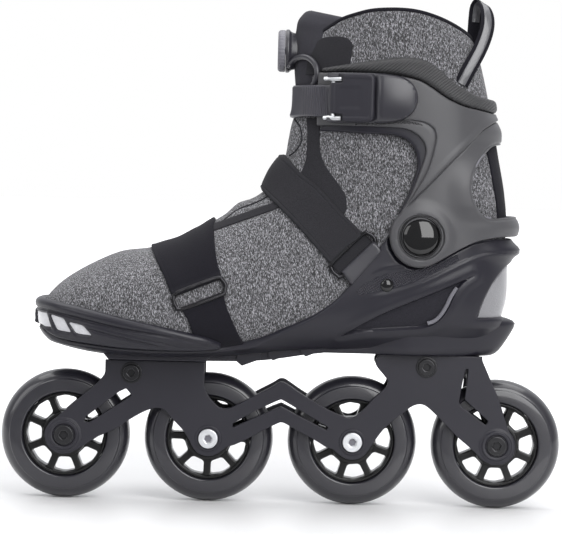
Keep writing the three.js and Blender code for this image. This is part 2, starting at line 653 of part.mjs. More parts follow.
function buckleLever() {
  const side = outline([line([33.5, 248.8], [52, 248.8], [54, 251], [54, 277], [52, 279.2], [33.5, 279.2])]);
  const paddle = skin(wrap(8.5, 13.4), wrap(4.6, STRAP_UNDER + 2.5), side).intersect(OUTER_SIDE);
  const nose = post(PIN.x, PIN.y, PIN.nose, 252.2, 275.8);
  const neck = block(PIN.x, 35, PIN.y - 2.4, PIN.y + 1.2, 252.2, 275.8);
  return biggest(nose.add(neck).add(paddle).subtract(post(PIN.x, PIN.y, PIN.radius + 0.25, 240, 290)));
}

add("ladder_strap", ladderStrap(), "rubber");
add("buckle_base", buckleBase(), "shell");
add("buckle_lever", buckleLever(), "cuff");
add("lever_pin", post(PIN.x, PIN.y, PIN.radius, PIN.low, PIN.high), "steel");

// ---------------------------------------------------------------- lacing dial on the tongue
const DIAL = { z: 294.4, radius: 14.2, front: -3, grip: 13.6, face: -8, spool: 8.5 };

// A disc about X, from x0 to x1, centred on the dial.
function disc(radius, x0, x1, segments = 20) {
  const geometry = new THREE.CylinderGeometry(radius, radius, x1 - x0, segments);
  geometry.rotateZ(Math.PI / 2);
  geometry.translate((x0 + x1) / 2, 0, DIAL.z);
  return solid(geometry);
}

function dialBase() {
  const cup = disc(DIAL.radius, DIAL.front, 8).subtract(form(1 + GAP, 1 + GAP, 1, true));
  return biggest(cup.subtract(disc(DIAL.spool + 0.5, DIAL.front - 1, 2.6)));
}

add("dial_base", dialBase(), "rubber");
add("dial_spool", disc(DIAL.spool, DIAL.front, 2.3).add(disc(2.6, -6, 0, 10)), "shell");
add("dial_knob", disc(DIAL.grip, DIAL.face, DIAL.front - GAP).subtract(disc(2.9, -6.3, 0, 10)), "dialGrey");

// ---------------------------------------------------------------- pull loop
// A flat band along a path. across points across the band's face at each of its points.
function ribbon(points, across, width, thick) {
  const rings = points.map((p, i) => {
    const ahead = points[Math.min(i + 1, points.length - 1)].clone().sub(points[Math.max(i - 1, 0)]).normalize();
    const side = across[i].clone().addScaledVector(ahead, -across[i].dot(ahead)).normalize();
    const out = side.clone().cross(ahead);
    const corner = (a, b) => p.clone().addScaledVector(side, (a * width) / 2).addScaledVector(out, (b * thick) / 2);
    return [corner(-1, -1), corner(1, -1), corner(1, 1), corner(-1, 1)];
  });
  const triangles = [];
  const face = (a, b, c, d) => [a, b, c, a, c, d].forEach((p) => triangles.push(p.x, p.y, p.z));
  for (let i = 0; i + 1 < rings.length; i++) {
    for (let k = 0; k < 4; k++) {
      const n = (k + 1) % 4;
      face(rings[i][k], rings[i][n], rings[i + 1][n], rings[i + 1][k]);
    }
  }
  face(rings[0][3], rings[0][2], rings[0][1], rings[0][0]);
  face(...rings.at(-1));
  const geometry = new THREE.BufferGeometry();
  geometry.setAttribute("position", new THREE.BufferAttribute(new Float32Array(triangles), 3));
  return solid(geometry);
}

function pullLoop() {
  const path = [
    [109.5, -37.5, 276], [114.5, -37, 285], [120.5, -35, 296], [125, -32.5, 306], [127, -29.5, 315],
    [125.5, -25, 323.5], [121.5, -19.5, 328], [117.5, -15.5, 325], [115.4, -14.2, 317], [114.6, -14, 308],
  ];
  const curve3 = new THREE.CatmullRomCurve3(path.map((p) => new THREE.Vector3(...p)));
  const points = curve3.getPoints(16);
  const across = points.map(() => new THREE.Vector3(0.86, 0.12, -0.5));
  return ribbon(points, across, 9.5, 1.4);
}

add("pull_loop", pullLoop(), "webbing");

export default skate;
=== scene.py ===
"""Looks of the inline skate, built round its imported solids. Toe towards -X, outer side towards -Y, +Z up.

Shapes are worked out in millimetres and become metres when a mesh is made.
"""

import math

import bpy
import numpy as np
from mathutils import Matrix, Vector


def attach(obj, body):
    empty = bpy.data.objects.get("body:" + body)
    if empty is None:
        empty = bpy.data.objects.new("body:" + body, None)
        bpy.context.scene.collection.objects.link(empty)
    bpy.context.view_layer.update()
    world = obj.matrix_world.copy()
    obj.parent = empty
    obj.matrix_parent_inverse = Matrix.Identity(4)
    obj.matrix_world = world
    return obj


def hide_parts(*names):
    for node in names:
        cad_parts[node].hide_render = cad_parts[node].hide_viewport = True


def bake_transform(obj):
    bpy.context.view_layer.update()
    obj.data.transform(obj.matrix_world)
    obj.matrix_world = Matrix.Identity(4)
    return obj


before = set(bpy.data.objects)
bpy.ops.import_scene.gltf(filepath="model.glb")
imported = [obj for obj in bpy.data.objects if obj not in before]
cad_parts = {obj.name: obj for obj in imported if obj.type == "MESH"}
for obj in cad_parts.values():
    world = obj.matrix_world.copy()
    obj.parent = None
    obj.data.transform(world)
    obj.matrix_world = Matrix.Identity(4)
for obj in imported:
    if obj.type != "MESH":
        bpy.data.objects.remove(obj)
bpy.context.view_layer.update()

MM = 0.001
WHEEL_RADIUS = 42
WHEEL_GAP = 93.5  # from axle to axle
AXLE_X = [WHEEL_GAP * (i - 1.5) for i in range(4)]
ENDS = (0, 3)  # the first and the last wheel, which have dark axles and wider rings
PIVOT = (86, 177)  # the cuff's hinge, along Y
SIDES = ((-1, "outer"), (1, "inner"))


# ---- curves and outlines
def smooth(points, step=1.5, count=None):
    """One curve that passes through the given points: a point each step, or so many to each stretch."""
    p = np.array(points, float)
    p = np.vstack([2 * p[0] - p[1], p, 2 * p[-1] - p[-2]])
    out = []
    for a, b, c, d in zip(p, p[1:], p[2:], p[3:]):
        number = count or max(2, int(np.linalg.norm(c - b) / step))
        for t in np.linspace(0, 1, number, endpoint=False):
            bend = (2 * a - 5 * b + 4 * c - d) * t * t + (3 * b - a - 3 * c + d) * t**3
            out.append(0.5 * (2 * b + (c - a) * t + bend))
    return out + [p[-2]]


def line(*points):
    return [np.array(p, float) for p in points]


def curve(*points):
    return smooth(points)


def outline(*runs):
    """A closed outline in (x, z) from runs of points."""
    points = [p for run in runs for p in run]
    apart = [p for i, p in enumerate(points) if np.linalg.norm(p - points[i - 1]) > 0.05]
    return np.array(apart)


def path_distance(points, x, z):
    """Distance from each (x, z) to a line of points."""
    best = np.full(len(x), 1e9)
    for (ax, az), (bx, bz) in zip(points, points[1:]):
        dx, dz = bx - ax, bz - az
        t = np.clip(((x - ax) * dx + (z - az) * dz) / (dx * dx + dz * dz + 1e-12), 0, 1)
        best = np.minimum(best, np.hypot(x - ax - t * dx, z - az - t * dz))
    return best


def inside(shape, x, z):
    """Distance from each (x, z) to a closed outline, positive inside it."""
    closed = np.vstack([shape, shape[:1]])
    within = np.zeros(len(x), bool)
    for (ax, az), (bx, bz) in zip(closed, closed[1:]):
        if az == bz:
            continue
        crosses = (az > z) != (bz > z)
        within ^= crosses & (x < ax + (z - az) * (bx - ax) / (bz - az))
    return path_distance(closed, x, z) * np.where(within, 1, -1)


def ease(value, low, high):
    """0 below low, 1 above high and smooth between."""
    t = np.clip((value - low) / (high - low), 0, 1)
    return t * t * (3 - 2 * t)


def bump(value, centre, half):
    """1 at the centre, 0 further than half from it."""
    return ease(half - np.abs(value - centre), 0, half)


# ---- making pieces
def piece(name, part, look, body, replaces=(), sharp=40):
    points, faces = part
    mesh = bpy.data.meshes.new(name)
    mesh.from_pydata((np.asarray(points) * MM).tolist(), [], [list(map(int, f)) for f in faces])
    mesh.shade_smooth()
    mesh.set_sharp_from_angle(angle=math.radians(sharp))
    mesh.materials.append(look)
    made = bpy.data.objects.new(name, mesh)
    bpy.context.scene.collection.objects.link(made)
    if isinstance(body, str):
        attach(made, body)
    else:
        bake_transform(made)
    if replaces:
        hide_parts(*replaces)
    return made


def joined(parts):
    """Several (points, faces) as one."""
    points, faces, start = [], [], 0
    for p, f in parts:
        points.extend(map(tuple, p))
        faces.extend([tuple(i + start for i in face) for face in f])
        start += len(p)
    return points, faces


def grid_faces(rows, columns, around=True, closed=False):
    """Quads over points stored row by row. around joins each row's ends, closed the last row to the first."""
    faces = []
    for i in range(rows if closed else rows - 1):
        j = (i + 1) % rows
        for k in range(columns if around else columns - 1):
            m = (k + 1) % columns
            faces.append((i * columns + k, i * columns + m, j * columns + m, j * columns + k))
    return faces


def between(top, bottom, faces):
    """The closed body between two sheets of points that share their faces."""
    count = len(top)
    edges = dict.fromkeys(pair for face in faces for pair in zip(face, face[1:] + face[:1]))
    walls = [(b, a, a + count, b + count) for a, b in edges if (b, a) not in edges]
    under = [tuple(v + count for v in reversed(face)) for face in faces]
    return np.vstack([top, bottom]), [*faces, *walls, *under]


def slab(shape, y0, y1, edge, holes=(), rounds=2):
    """An (x, z) outline with holes, from y0 to y1, with its edges rounded off."""
    data = bpy.data.curves.new("slab", "CURVE")
    data.dimensions = "2D"
    data.fill_mode = "BOTH"
    data.extrude = (y1 - y0) / 2 - edge
    data.bevel_depth = edge
    data.bevel_resolution = rounds
    data.offset = -edge
    for ring in (shape, *holes):
        spline = data.splines.new("POLY")
        spline.points.add(len(ring) - 1)
        for point, (x, z) in zip(spline.points, ring):
            point.co = (x, z, 0, 1)
        spline.use_cyclic_u = True
    holder = bpy.data.objects.new("slab", data)
    bpy.context.scene.collection.objects.link(holder)
    bpy.context.view_layer.update()
    mesh = bpy.data.meshes.new_from_object(holder.evaluated_get(bpy.context.evaluated_depsgraph_get()))
    points = [(v.co.x, (y0 + y1) / 2 - v.co.z, v.co.y) for v in mesh.vertices]
    faces = [tuple(p.vertices) for p in mesh.polygons]
    bpy.data.objects.remove(holder)
    bpy.data.meshes.remove(mesh)
    return points, faces


def rounded_profile(corners, radius, steps=4):
    """A profile of (r, y) corners with each corner rounded, as far as its sides allow."""
    out = []
    for i, corner in enumerate(corners):
        here = np.array(corner[:2], float)
        r = corner[2] if len(corner) > 2 else radius
        before = np.array(corners[i - 1][:2], float) - here
        after = np.array(corners[(i + 1) % len(corners)][:2], float) - here
        cut = min(r, np.linalg.norm(before) / 2.2, np.linalg.norm(after) / 2.2)
        if cut < 0.02:
            out.append(here)
            continue
        a = here + before / np.linalg.norm(before) * cut
        b = here + after / np.linalg.norm(after) * cut
        for t in np.linspace(0, 1, steps):
            out.append((1 - t) ** 2 * a + 2 * t * (1 - t) * here + t * t * b)
    return out


def lathe(profile, x, z, segments, radius, side=1):
    """A body turned about Y from a closed profile of (r, y) corners, rounded off. Side -1 mirrors it in y."""
    ring = [(r, side * y) for r, y in profile]
    if radius:
        ring = rounded_profile(ring, radius)
    n = len(ring)
    angles = np.arange(segments) * 2 * math.pi / segments
    points = [(x + r * math.cos(a), y, z + r * math.sin(a)) for a in angles for r, y in ring]
    on_axis = [r < 1e-6 for r, y in ring]
    faces = grid_faces(segments, n, closed=True)
    return points, [f for f in faces if not (on_axis[f[0] % n] and on_axis[f[1] % n])]


def disc_outline(radius, sides, x, z, turn=0.0):
    """A circle or a polygon of so many sides round (x, z)."""
    angles = np.arange(sides) * 2 * math.pi / sides + math.radians(turn)
    return np.stack([x + radius * np.cos(angles), z + radius * np.sin(angles)], 1)


def rounded_box_outline(length, height, radius, x, z, turn):
    """A rounded rectangle centred on (x, z), turned by degrees."""
    points = []
    for k, (sx, sz) in enumerate([(1, 1), (-1, 1), (-1, -1), (1, -1)]):
        for a in np.linspace(0, math.pi / 2, 8) + k * math.pi / 2:
            px = sx * (length / 2 - radius) + radius * math.cos(a)
            pz = sz * (height / 2 - radius) + radius * math.sin(a)
            points.append((px, pz))
    c, s = math.cos(math.radians(turn)), math.sin(math.radians(turn))
    return np.array([(x + px * c - pz * s, z + px * s + pz * c) for px, pz in points])


def tube(path, radius, sides, closed=False, flat=1.0, across=None):
    """A cord along a path of 3-D points. flat squeezes it along the direction square to across."""
    p = np.array(path, float)
    n = len(p)
    ahead = np.roll(p, -1, 0) - np.roll(p, 1, 0)
    if not closed:
        ahead[0] = p[1] - p[0]
        ahead[-1] = p[-1] - p[-2]
    ahead /= np.linalg.norm(ahead, axis=1)[:, None]
    side = np.zeros_like(p)
    last = np.array(across or (0.1, 1, 0.2), float)
    for i in range(n):
        last = np.array(across, float) if across else last
        last = last - ahead[i] * last.dot(ahead[i])
        last /= np.linalg.norm(last)
        side[i] = last
    up = np.cross(ahead, side)
    points = []
    for i in range(n):
        for k in range(sides):
            a = 2 * math.pi * k / sides
            points.append(p[i] + side[i] * radius * math.cos(a) + up[i] * radius * flat * math.sin(a))
    faces = [(a, d, c, b) for a, b, c, d in grid_faces(n, sides, closed=closed)]
    if not closed:
        faces.append(tuple(range(sides)))
        faces.append(tuple((n - 1) * sides + k for k in reversed(range(sides))))
    return points, faces


# ---- the boot's form
# Sections from the toe to the rim: front x, front z, back x, back z, half width, shift towards +Y,
# squareness of the upper and lower half, how much the lower half widens, and how far the sides bow up.
SECTIONS = np.array([
    [-157.4, 120.5, -157.4, 117.0, 1.2, 6.0, 2.0, 2.0, 0.00, 0.0],
    [-156.9, 124.0, -156.5, 114.0, 9.0, 6.0, 2.0, 2.2, 0.00, 0.0],
    [-155.4, 129.0, -154.5, 110.0, 18.0, 6.0, 2.1, 2.4, 0.02, 0.0],
    [-152.0, 134.0, -150.0, 106.5, 26.5, 5.5, 2.2, 2.8, 0.05, 0.0],
    [-143.0, 142.5, -138.0, 102.5, 37.0, 4.5, 2.2, 3.0, 0.08, 0.0],
    [-127.0, 152.5, -120.0, 99.5, 44.5, 3.0, 2.2, 3.2, 0.10, 0.0],
    [-107.0, 161.5, -98.0, 98.0, 48.0, 1.0, 2.1, 3.2, 0.10, 0.0],
    [-86.0, 165.0, -75.0, 98.0, 49.0, -0.5, 2.1, 3.2, 0.10, 0.0],
    [-66.0, 172.5, -50.0, 98.5, 47.5, -1.0, 2.1, 3.2, 0.10, 0.0],
    [-46.0, 183.5, -22.0, 101.0, 44.5, -1.0, 2.1, 3.0, 0.10, 0.0],
    [-29.0, 193.5, 10.0, 104.0, 41.5, -0.5, 2.1, 2.8, 0.08, 0.0],
    [-14.5, 203.5, 52.0, 105.5, 39.5, 0.0, 2.2, 2.6, 0.04, 0.0],
    [-6.0, 215.0, 98.0, 106.0, 38.5, 0.0, 2.3, 2.4, 0.00, 0.0],
    [-1.5, 226.0, 131.0, 113.0, 38.5, 0.0, 2.3, 2.4, 0.00, 0.0],
    [0.3, 237.0, 142.0, 133.0, 39.0, 0.0, 2.3, 2.4, 0.00, 0.0],
    [2.0, 246.5, 143.0, 158.0, 40.0, 0.0, 2.3, 2.3, 0.00, 0.0],
    [4.5, 256.0, 143.0, 182.0, 41.0, 0.0, 2.3, 2.3, 0.00, 0.0],
    [5.0, 266.0, 140.5, 206.0, 42.0, 0.0, 2.3, 2.3, 0.00, 0.0],
    [5.0, 276.0, 136.0, 229.0, 43.0, 0.0, 2.3, 2.3, 0.00, 0.0],
    [6.0, 284.0, 132.0, 250.0, 44.0, 0.0, 2.3, 2.3, 0.00, 3.0],
    [8.0, 292.0, 128.0, 272.0, 44.5, 0.0, 2.3, 2.3, 0.00, 8.0],
    [12.0, 300.0, 121.0, 298.0, 45.0, 0.0, 2.3, 2.3, 0.00, 17.0],
    [17.0, 309.0, 113.0, 318.0, 45.5, 0.0, 2.3, 2.3, 0.00, 20.0],
])
ALONG, AROUND = 330, 300  # rows from toe to rim, columns round the boot


def powered(value, exponent):
    return np.sign(value) * np.abs(value) ** exponent


def section_rows(count):
    """The sections filled in smoothly, so many of them, evenly spaced along the boot."""
    dense = np.array(smooth(SECTIONS, count=40))
    front_step = np.linalg.norm(np.diff(dense[:, 0:2], axis=0), axis=1)
    back_step = np.linalg.norm(np.diff(dense[:, 2:4], axis=0), axis=1)
    wide_step = np.abs(np.diff(dense[:, 4]))
    steps = np.maximum(np.maximum(front_step, back_step), wide_step)
    run = np.concatenate([[0], np.cumsum(steps)])
    at = np.linspace(0, run[-1], count)
    return np.stack([np.interp(at, run, dense[:, k]) for k in range(dense.shape[1])], 1)


class Skin:
    """A stretch of the boot's form: points, outward normals, and triangles over them.

    Each column of data is one value at every point: 0-2 the point, 3-5 its normal, 6 the row and 7 the
    column it lies on, from 0 to 1. Further columns are fields that cut and trim work with.
    """

    def __init__(self, data, triangles):
        self.data = data
        self.triangles = triangles

    @property
    def points(self):
        return self.data[:, 0:3]

    @property
    def normals(self):
        return self.data[:, 3:6]

    def raised(self, height):
        """The points moved off the form by a height, which is one number or one for each point."""
        return self.points + self.normals * np.reshape(height, (-1, 1))

    def at(self, height):
        """Their x, y and z when raised by a height."""
        return self.raised(height).T

    def cut(self, field, *levels):
        """The same skin with its triangles split along the field's levels."""
        data = np.hstack([self.data, field[:, None]])
        triangles = self.triangles
        for level in levels:
            data, triangles = split(data, triangles, level)
        return Skin(data[:, :-1], triangles)

    def trim(self, field, *levels):
        """What is left where the field is above 0, also cut along its levels, and the field over it."""
        data, triangles = split(np.hstack([self.data, field[:, None]]), self.triangles, 0.0)
        triangles = triangles[data[triangles, -1].mean(1) > 0]
        for level in levels:
            data, triangles = split(data, triangles, level)
        used, renumbered = np.unique(triangles, return_inverse=True)
        return Skin(data[used, :-1], renumbered.reshape(-1, 3)), np.maximum(data[used, -1], 0)


def split(data, triangles, level):
    """Adds points where the last column crosses a level, so that no triangle straddles it."""
    value = data[:, -1] - level
    value[np.abs(value) < 1e-4] = 0
    sign = np.sign(value)[triangles]
    straddles = (sign.min(1) < 0) & (sign.max(1) > 0)
    plain = triangles[~straddles]
    work, sign = triangles[straddles], sign[straddles]
    if not len(work):
        return data, triangles
    edges = np.concatenate([work[:, [0, 1]], work[:, [1, 2]], work[:, [2, 0]]])
    crossing = value[edges[:, 0]] * value[edges[:, 1]] < 0
    unique, back = np.unique(np.sort(edges[crossing], 1), axis=0, return_inverse=True)
    a, b = value[unique[:, 0]], value[unique[:, 1]]
    t = (a / (a - b))[:, None]
    fresh = data[unique[:, 0]] * (1 - t) + data[unique[:, 1]] * t
    fresh[:, -1] = level
    number = np.full(len(edges), -1)
    number[crossing] = len(data) + back.ravel()
    number = number.reshape(3, -1).T
    made = []
    for k in range(3):
        i, j, m = k, (k + 1) % 3, (k + 2) % 3
        lone = (number[:, i] >= 0) & (number[:, m] >= 0)
        p, q, r = work[lone, i], work[lone, j], work[lone, m]
        pq, pr = number[lone, i], number[lone, m]
        made += [np.stack([p, pq, pr], 1), np.stack([pq, q, r], 1), np.stack([pq, r, pr], 1)]
        one = (number[:, i] >= 0) & (number[:, j] < 0) & (number[:, m] < 0)
        p, q, r, pq = work[one, i], work[one, j], work[one, m], number[one, i]
        made += [np.stack([p, pq, r], 1), np.stack([pq, q, r], 1)]
    return np.vstack([data, fresh]), np.vstack([plain, *made])


def boot_form():
    """The boot's outside as a grid round the sections, closed at the toe and open at the rim."""
    angle = 2 * math.pi * np.arange(AROUND) / AROUND
    grid = np.zeros((ALONG, AROUND, 3))
    for i, row in enumerate(section_rows(ALONG)):
        fx, fz, bx, bz, width, shift, top, base, lean, bow = row
        length = math.hypot(bx - fx, bz - fz)
        ax, az = (bx - fx) / length, (bz - fz) / length
        square = np.where(np.cos(angle) < 0, top, base)
        c = powered(np.cos(angle), 2 / square)
        s = powered(np.sin(angle), 2 / square)
        lift = bow * (1 - c * c)
        grid[i, :, 0] = (fx + bx) / 2 + ax * length / 2 * c - az * lift
        grid[i, :, 2] = (fz + bz) / 2 + az * length / 2 * c + ax * lift
        grid[i, :, 1] = shift + width * s * (1 + lean * c)
    spread = np.gradient(grid, axis=0)
    round_it = (np.roll(grid, -1, 1) - np.roll(grid, 1, 1)) / 2
    normal = np.cross(round_it, spread)
    normal /= np.linalg.norm(normal, axis=2)[:, :, None] + 1e-12
    row, column = np.meshgrid(np.arange(ALONG) / (ALONG - 1), np.arange(AROUND) / AROUND, indexing="ij")
    data = np.concatenate([grid, normal, row[:, :, None], column[:, :, None]], 2).reshape(-1, 8)
    quads = np.array(grid_faces(ALONG, AROUND)).reshape(ALONG - 1, AROUND, 4)
    triangles = np.concatenate([quads[:, :, [0, 1, 2]], quads[:, :, [0, 2, 3]]], 1).reshape(-1, 3)
    nose = data[:AROUND, 0:3].mean(0)
    tip = np.concatenate([nose + [-0.25, 0, 0], [-1, 0, 0], [0, 0]])
    fan = [((i + 1) % AROUND, i, len(data)) for i in range(AROUND)]
    return Skin(np.vstack([data, tip]), np.vstack([triangles, fan]))


FORM = boot_form()


def pillow(field, under, over, edge, detail):
    """A padded layer between two heights off the boot's form, with its rim rounded on both of its faces."""
    skin, depth = FORM.trim(field(*FORM.at(0)), edge * 0.05, edge * 0.2, edge * 0.5, edge)
    place = skin.points.T
    low, high = under(*place), over
    half = (high - low) / 2
    middle = (high + low) / 2
    full = np.sqrt(1 - np.clip(1 - depth / edge, 0, 1) ** 2)
    top = skin.raised(middle + half * full + detail(*place) * ease(depth, 0, edge))
    return between(top, skin.raised(middle - half * full), [tuple(t) for t in skin.triangles])


def cover(field, under, over, detail=None, edge=1.0, cuts=()):
    """A closed layer over the boot's form where the field is above 0.

    It lies from under to over off the form, with its rim rounded. under and over are numbers or functions
    of (x, y, z). detail adds to the outside, as a function of (x, y, z). cuts are pairs of a function of
    (x, y, z) and levels that the mesh gets edges along.
    """
    reach = 4 if callable(over) else over
    skin, depth = FORM.trim(field(*FORM.at(reach)), edge * 0.15, edge * 0.5, edge)
    for where, levels in cuts:
        marked = Skin(np.hstack([skin.data, depth[:, None]]), skin.triangles)
        skin = marked.cut(where(*skin.at(reach)), *levels)
        skin, depth = Skin(skin.data[:, :-1], skin.triangles), skin.data[:, -1]
    place = skin.points.T
    low = np.broadcast_to(under(*place) if callable(under) else float(under), len(depth))
    high = np.broadcast_to(over(*place) if callable(over) else float(over), len(depth))
    inset = np.clip(1 - depth / edge, 0, 1)
    high = high - np.minimum(edge, high - low) * (1 - np.sqrt(1 - inset**2))
    if detail is not None:
        high = high + detail(*skin.at(reach)) * ease(depth, 0, edge)
    return between(skin.raised(high), skin.raised(low), [tuple(t) for t in skin.triangles])


def both(shape):
    """A field that is positive inside an (x, z) outline, on both sides of the boot."""
    return lambda x, y, z: inside(shape, x, z)


def off(points):
    """A field of the distance to a line of (x, z) points."""
    return lambda x, y, z: path_distance(points, x, z)


def one_side(shape, side=-1):
    """A field that is positive inside an (x, z) outline on one side of the boot, -1 for the outer one."""
    return lambda x, y, z: np.minimum(inside(shape, x, z), y * side)


# The form's rows of data that face the outer and the inner side.
FACING = {side: FORM.data[(FORM.normals[:, 1] * side > 0.05) & (FORM.data[:, 6] > 0)] for side, _ in SIDES}


def spot(x, z, side, height):
    """The place on the boot's form seen at (x, z) from one side, raised by a height, and its normal."""
    data = FACING[side]
    at = data[:, 0:3] + data[:, 3:6] * height
    away = np.hypot(at[:, 0] - x, at[:, 2] - z)
    near = np.argsort(away)[:4]
    weight = 1 / (away[near] + 0.05)
    weight /= weight.sum()
    normal = (data[near, 3:6] * weight[:, None]).sum(0)
    place = (at[near] * weight[:, None]).sum(0)
    return np.array([x, place[1], z]), normal / np.linalg.norm(normal)


def on_form(points, side, height):
    """A path of (x, z) points laid on one side of the boot's form."""
    return [spot(x, z, side, height)[0] for x, z in points]


def hug(points, height):
    """A smooth path close to the boot, moved onto its form and raised by a height at each point."""
    path = np.array(smooth(points))
    heights = height(*path.T) if callable(height) else np.full(len(path), float(height))
    out = []
    for at, up in zip(path, heights):
        away = np.linalg.norm(FORM.points - at, axis=1)
        near = np.argsort(away)[:6]
        weight = 1 / (away[near] + 0.5)
        place = (FORM.points[near] * weight[:, None]).sum(0) / weight.sum()
        normal = (FORM.normals[near] * weight[:, None]).sum(0)
        normal /= np.linalg.norm(normal)
        out.append(at + normal * (up - normal.dot(at - place)))
    return out


# ---- materials
class Look:
    """A node material while it is being put together."""

    def __init__(self, name, colour, rough, metal=0.0, **more):
        self.material = bpy.data.materials.new(name)
        self.material.use_nodes = True
        self.tree = self.material.node_tree
        self.shader = self.tree.nodes["Principled BSDF"]
        self.set("Base Color", (*colour, 1.0))
        self.set("Roughness", rough)
        self.set("Metallic", metal)
        for socket_painted_shade, value in more.items():
            self.set(socket_painted_shade.replace("_", " ").title().replace("Ior", "IOR"), value)

    def set(self, socket_painted_shade, value):
        self.shader.inputs[socket_painted_shade].default_value = value

    def node(self, kind, settings=None, **inputs):
        made = self.tree.nodes.new(kind)
        for key, value in (settings or {}).items():
            setattr(made, key, value)
        for key, value in inputs.items():
            socket_painted_shade = made.inputs[int(key[1:])] if key[0] == "i" and key[1:].isdigit() else made.inputs[key]
            self.feed(socket_painted_shade, value)
        return made

    def feed(self, socket_painted_shade, value):
        if isinstance(value, bpy.types.NodeSocket):
            self.tree.links.new(value, socket_painted_shade)
        else:
            socket_painted_shade.default_value = value

    def place(self, scale, turn=(0, 0, 0)):
        """Where on the piece, in millimetres times the scale."""
        source = self.node("ShaderNodeTexCoord").outputs["Object"]
        turned = self.node("ShaderNodeMapping", Vector=source, Rotation=[math.radians(a) for a in turn])
        size = tuple(s * 1000 for s in scale)
        return self.node("ShaderNodeMapping", Vector=turned.outputs[0], Scale=size).outputs[0]

    def noise(self, scale, detail, rough, turn=(0, 0, 0)):
        place = self.place(scale, turn)
        made = self.node("ShaderNodeTexNoise", Vector=place, Scale=1.0, Detail=detail, Roughness=rough)
        return made.outputs["Fac"]

    def ramp(self, value, *stops):
        made = self.node("ShaderNodeValToRGB", Fac=value)
        ramp = made.color_ramp
        while len(ramp.elements) < len(stops):
            ramp.elements.new(0.5)
        for element, (position, colour) in zip(ramp.elements, stops):
            element.position = position
            element.color = (*colour, 1.0) if hasattr(colour, "__len__") else (colour, colour, colour, 1.0)
        return made.outputs["Color"]

    def maths(self, operation, a, b=0.0):
        return self.node("ShaderNodeMath", {"operation": operation}, i0=a, i1=b).outputs[0]

    def relief(self, height, depth_mm, strength):
        """Bumps of the surface, of a height in millimetres."""
        made = self.node("ShaderNodeBump", Strength=strength, Distance=depth_mm * MM, Height=height)
        if self.shader.inputs["Normal"].links:
            self.feed(made.inputs["Normal"], self.shader.inputs["Normal"].links[0].from_socket)
        self.feed(self.shader.inputs["Normal"], made.outputs[0])

    def vary_rough(self, value, low, high):
        made = self.node("ShaderNodeMapRange", Value=value)
        made.inputs["To Min"].default_value = low
        made.inputs["To Max"].default_value = high
        self.feed(self.shader.inputs["Roughness"], made.outputs[0])


PAD_PITCH = 1.9


def grey(value, tint=0.03):
    """A grey that leans to blue by a little."""
    return (value, value * (1 - tint * 0.3), value * (1 + tint * 2.2))


def heather_knit():
    """Grey knit with light and dark flecks drawn out along the cloth."""
    look = Look("heather_knit", grey(0.16), 0.95, sheen_weight=0.06, sheen_roughness=0.6)
    streaks = look.noise((1.65, 0.95, 0.58), 3.0, 0.62, (0, 8, 0))
    flecks = look.noise((2.7, 1.7, 1.4), 2.0, 0.6, (0, -16, 0))
    blend = look.maths("ADD", look.maths("MULTIPLY", streaks, 0.62), look.maths("MULTIPLY", flecks, 0.38))
    shades = ((0.40, grey(0.007)), (0.455, grey(0.030)), (0.53, grey(0.104)), (0.60, grey(0.31)))
    look.feed(look.shader.inputs["Base Color"], look.ramp(blend, *shades))
    look.relief(blend, 0.5, 0.6)
    return look.material


def woven(name, colour, cell=0.9, depth=0.12):
    """Webbing, felt or padding: fine close cells under a soft fuzz."""
    look = Look(name, colour, 0.9, sheen_weight=0.03, specular_ior_level=0.12)
    place = look.place((1 / cell,) * 3, (0, 40, 0))
    weave = look.node("ShaderNodeTexVoronoi", Vector=place, Scale=1.0).outputs["Distance"]
    fuzz = look.noise((2.2,) * 3, 3.0, 0.7)
    look.relief(weave, depth, 0.6)
    look.relief(fuzz, 0.15, 0.5)
    darker = tuple(c * 0.7 for c in colour)
    lighter = tuple(c * 1.35 for c in colour)
    look.feed(look.shader.inputs["Base Color"], look.ramp(fuzz, (0.35, darker), (0.7, lighter)))
    return look.material


def moulded(name, colour, rough, grain=0.5, depth=0.03, spread=0.07, **more):
    """Injection-moulded plastic with a fine spark-eroded grain."""
    look = Look(name, colour, rough, **more)
    fine = look.noise((1 / grain,) * 3, 2.0, 0.6)
    broad = look.noise((0.02,) * 3, 2.0, 0.5)
    look.relief(fine, depth, 0.5)
    look.vary_rough(broad, rough - spread, rough + spread)
    return look.material


def dotted(name, colour, rough):
    """Plastic with a field of small raised pads."""
    look = Look(name, colour, rough, specular_ior_level=0.36)
    place = look.place((1 / PAD_PITCH,) * 3, (0, -12, 0))
    parts = look.node("ShaderNodeSeparateXYZ", Vector=place)
    waves = [look.maths("SINE", look.maths("MULTIPLY", parts.outputs[k], 2 * math.pi)) for k in ("X", "Z")]
    look.relief(look.maths("MULTIPLY", *waves), 0.5, 0.7)
    return look.material


def hatched_rubber():
    """Rubber with fine slanting ribs, a little uneven."""
    look = Look("hatched_rubber", grey(0.027), 0.6)
    place = look.place((0.62,) * 3, (0, 38, 0))
    parts = look.node("ShaderNodeSeparateXYZ", Vector=place)
    wave = look.maths("SINE", look.maths("MULTIPLY", parts.outputs["Z"], 2 * math.pi))
    wobble = look.noise((0.5,) * 3, 3.0, 0.7)
    look.relief(wave, 0.3, 0.6)
    look.relief(wobble, 0.2, 0.5)
    return look.material


def brushed_steel():
    """Bright steel that fine scratches dull in places."""
    look = Look("bright_steel", (0.66, 0.67, 0.69), 0.36, 0.8)
    scratches = look.noise((2.0,) * 3, 3.0, 0.6)
    look.vary_rough(scratches, 0.26, 0.46)
    look.relief(scratches, 0.03, 0.4)
    return look.material


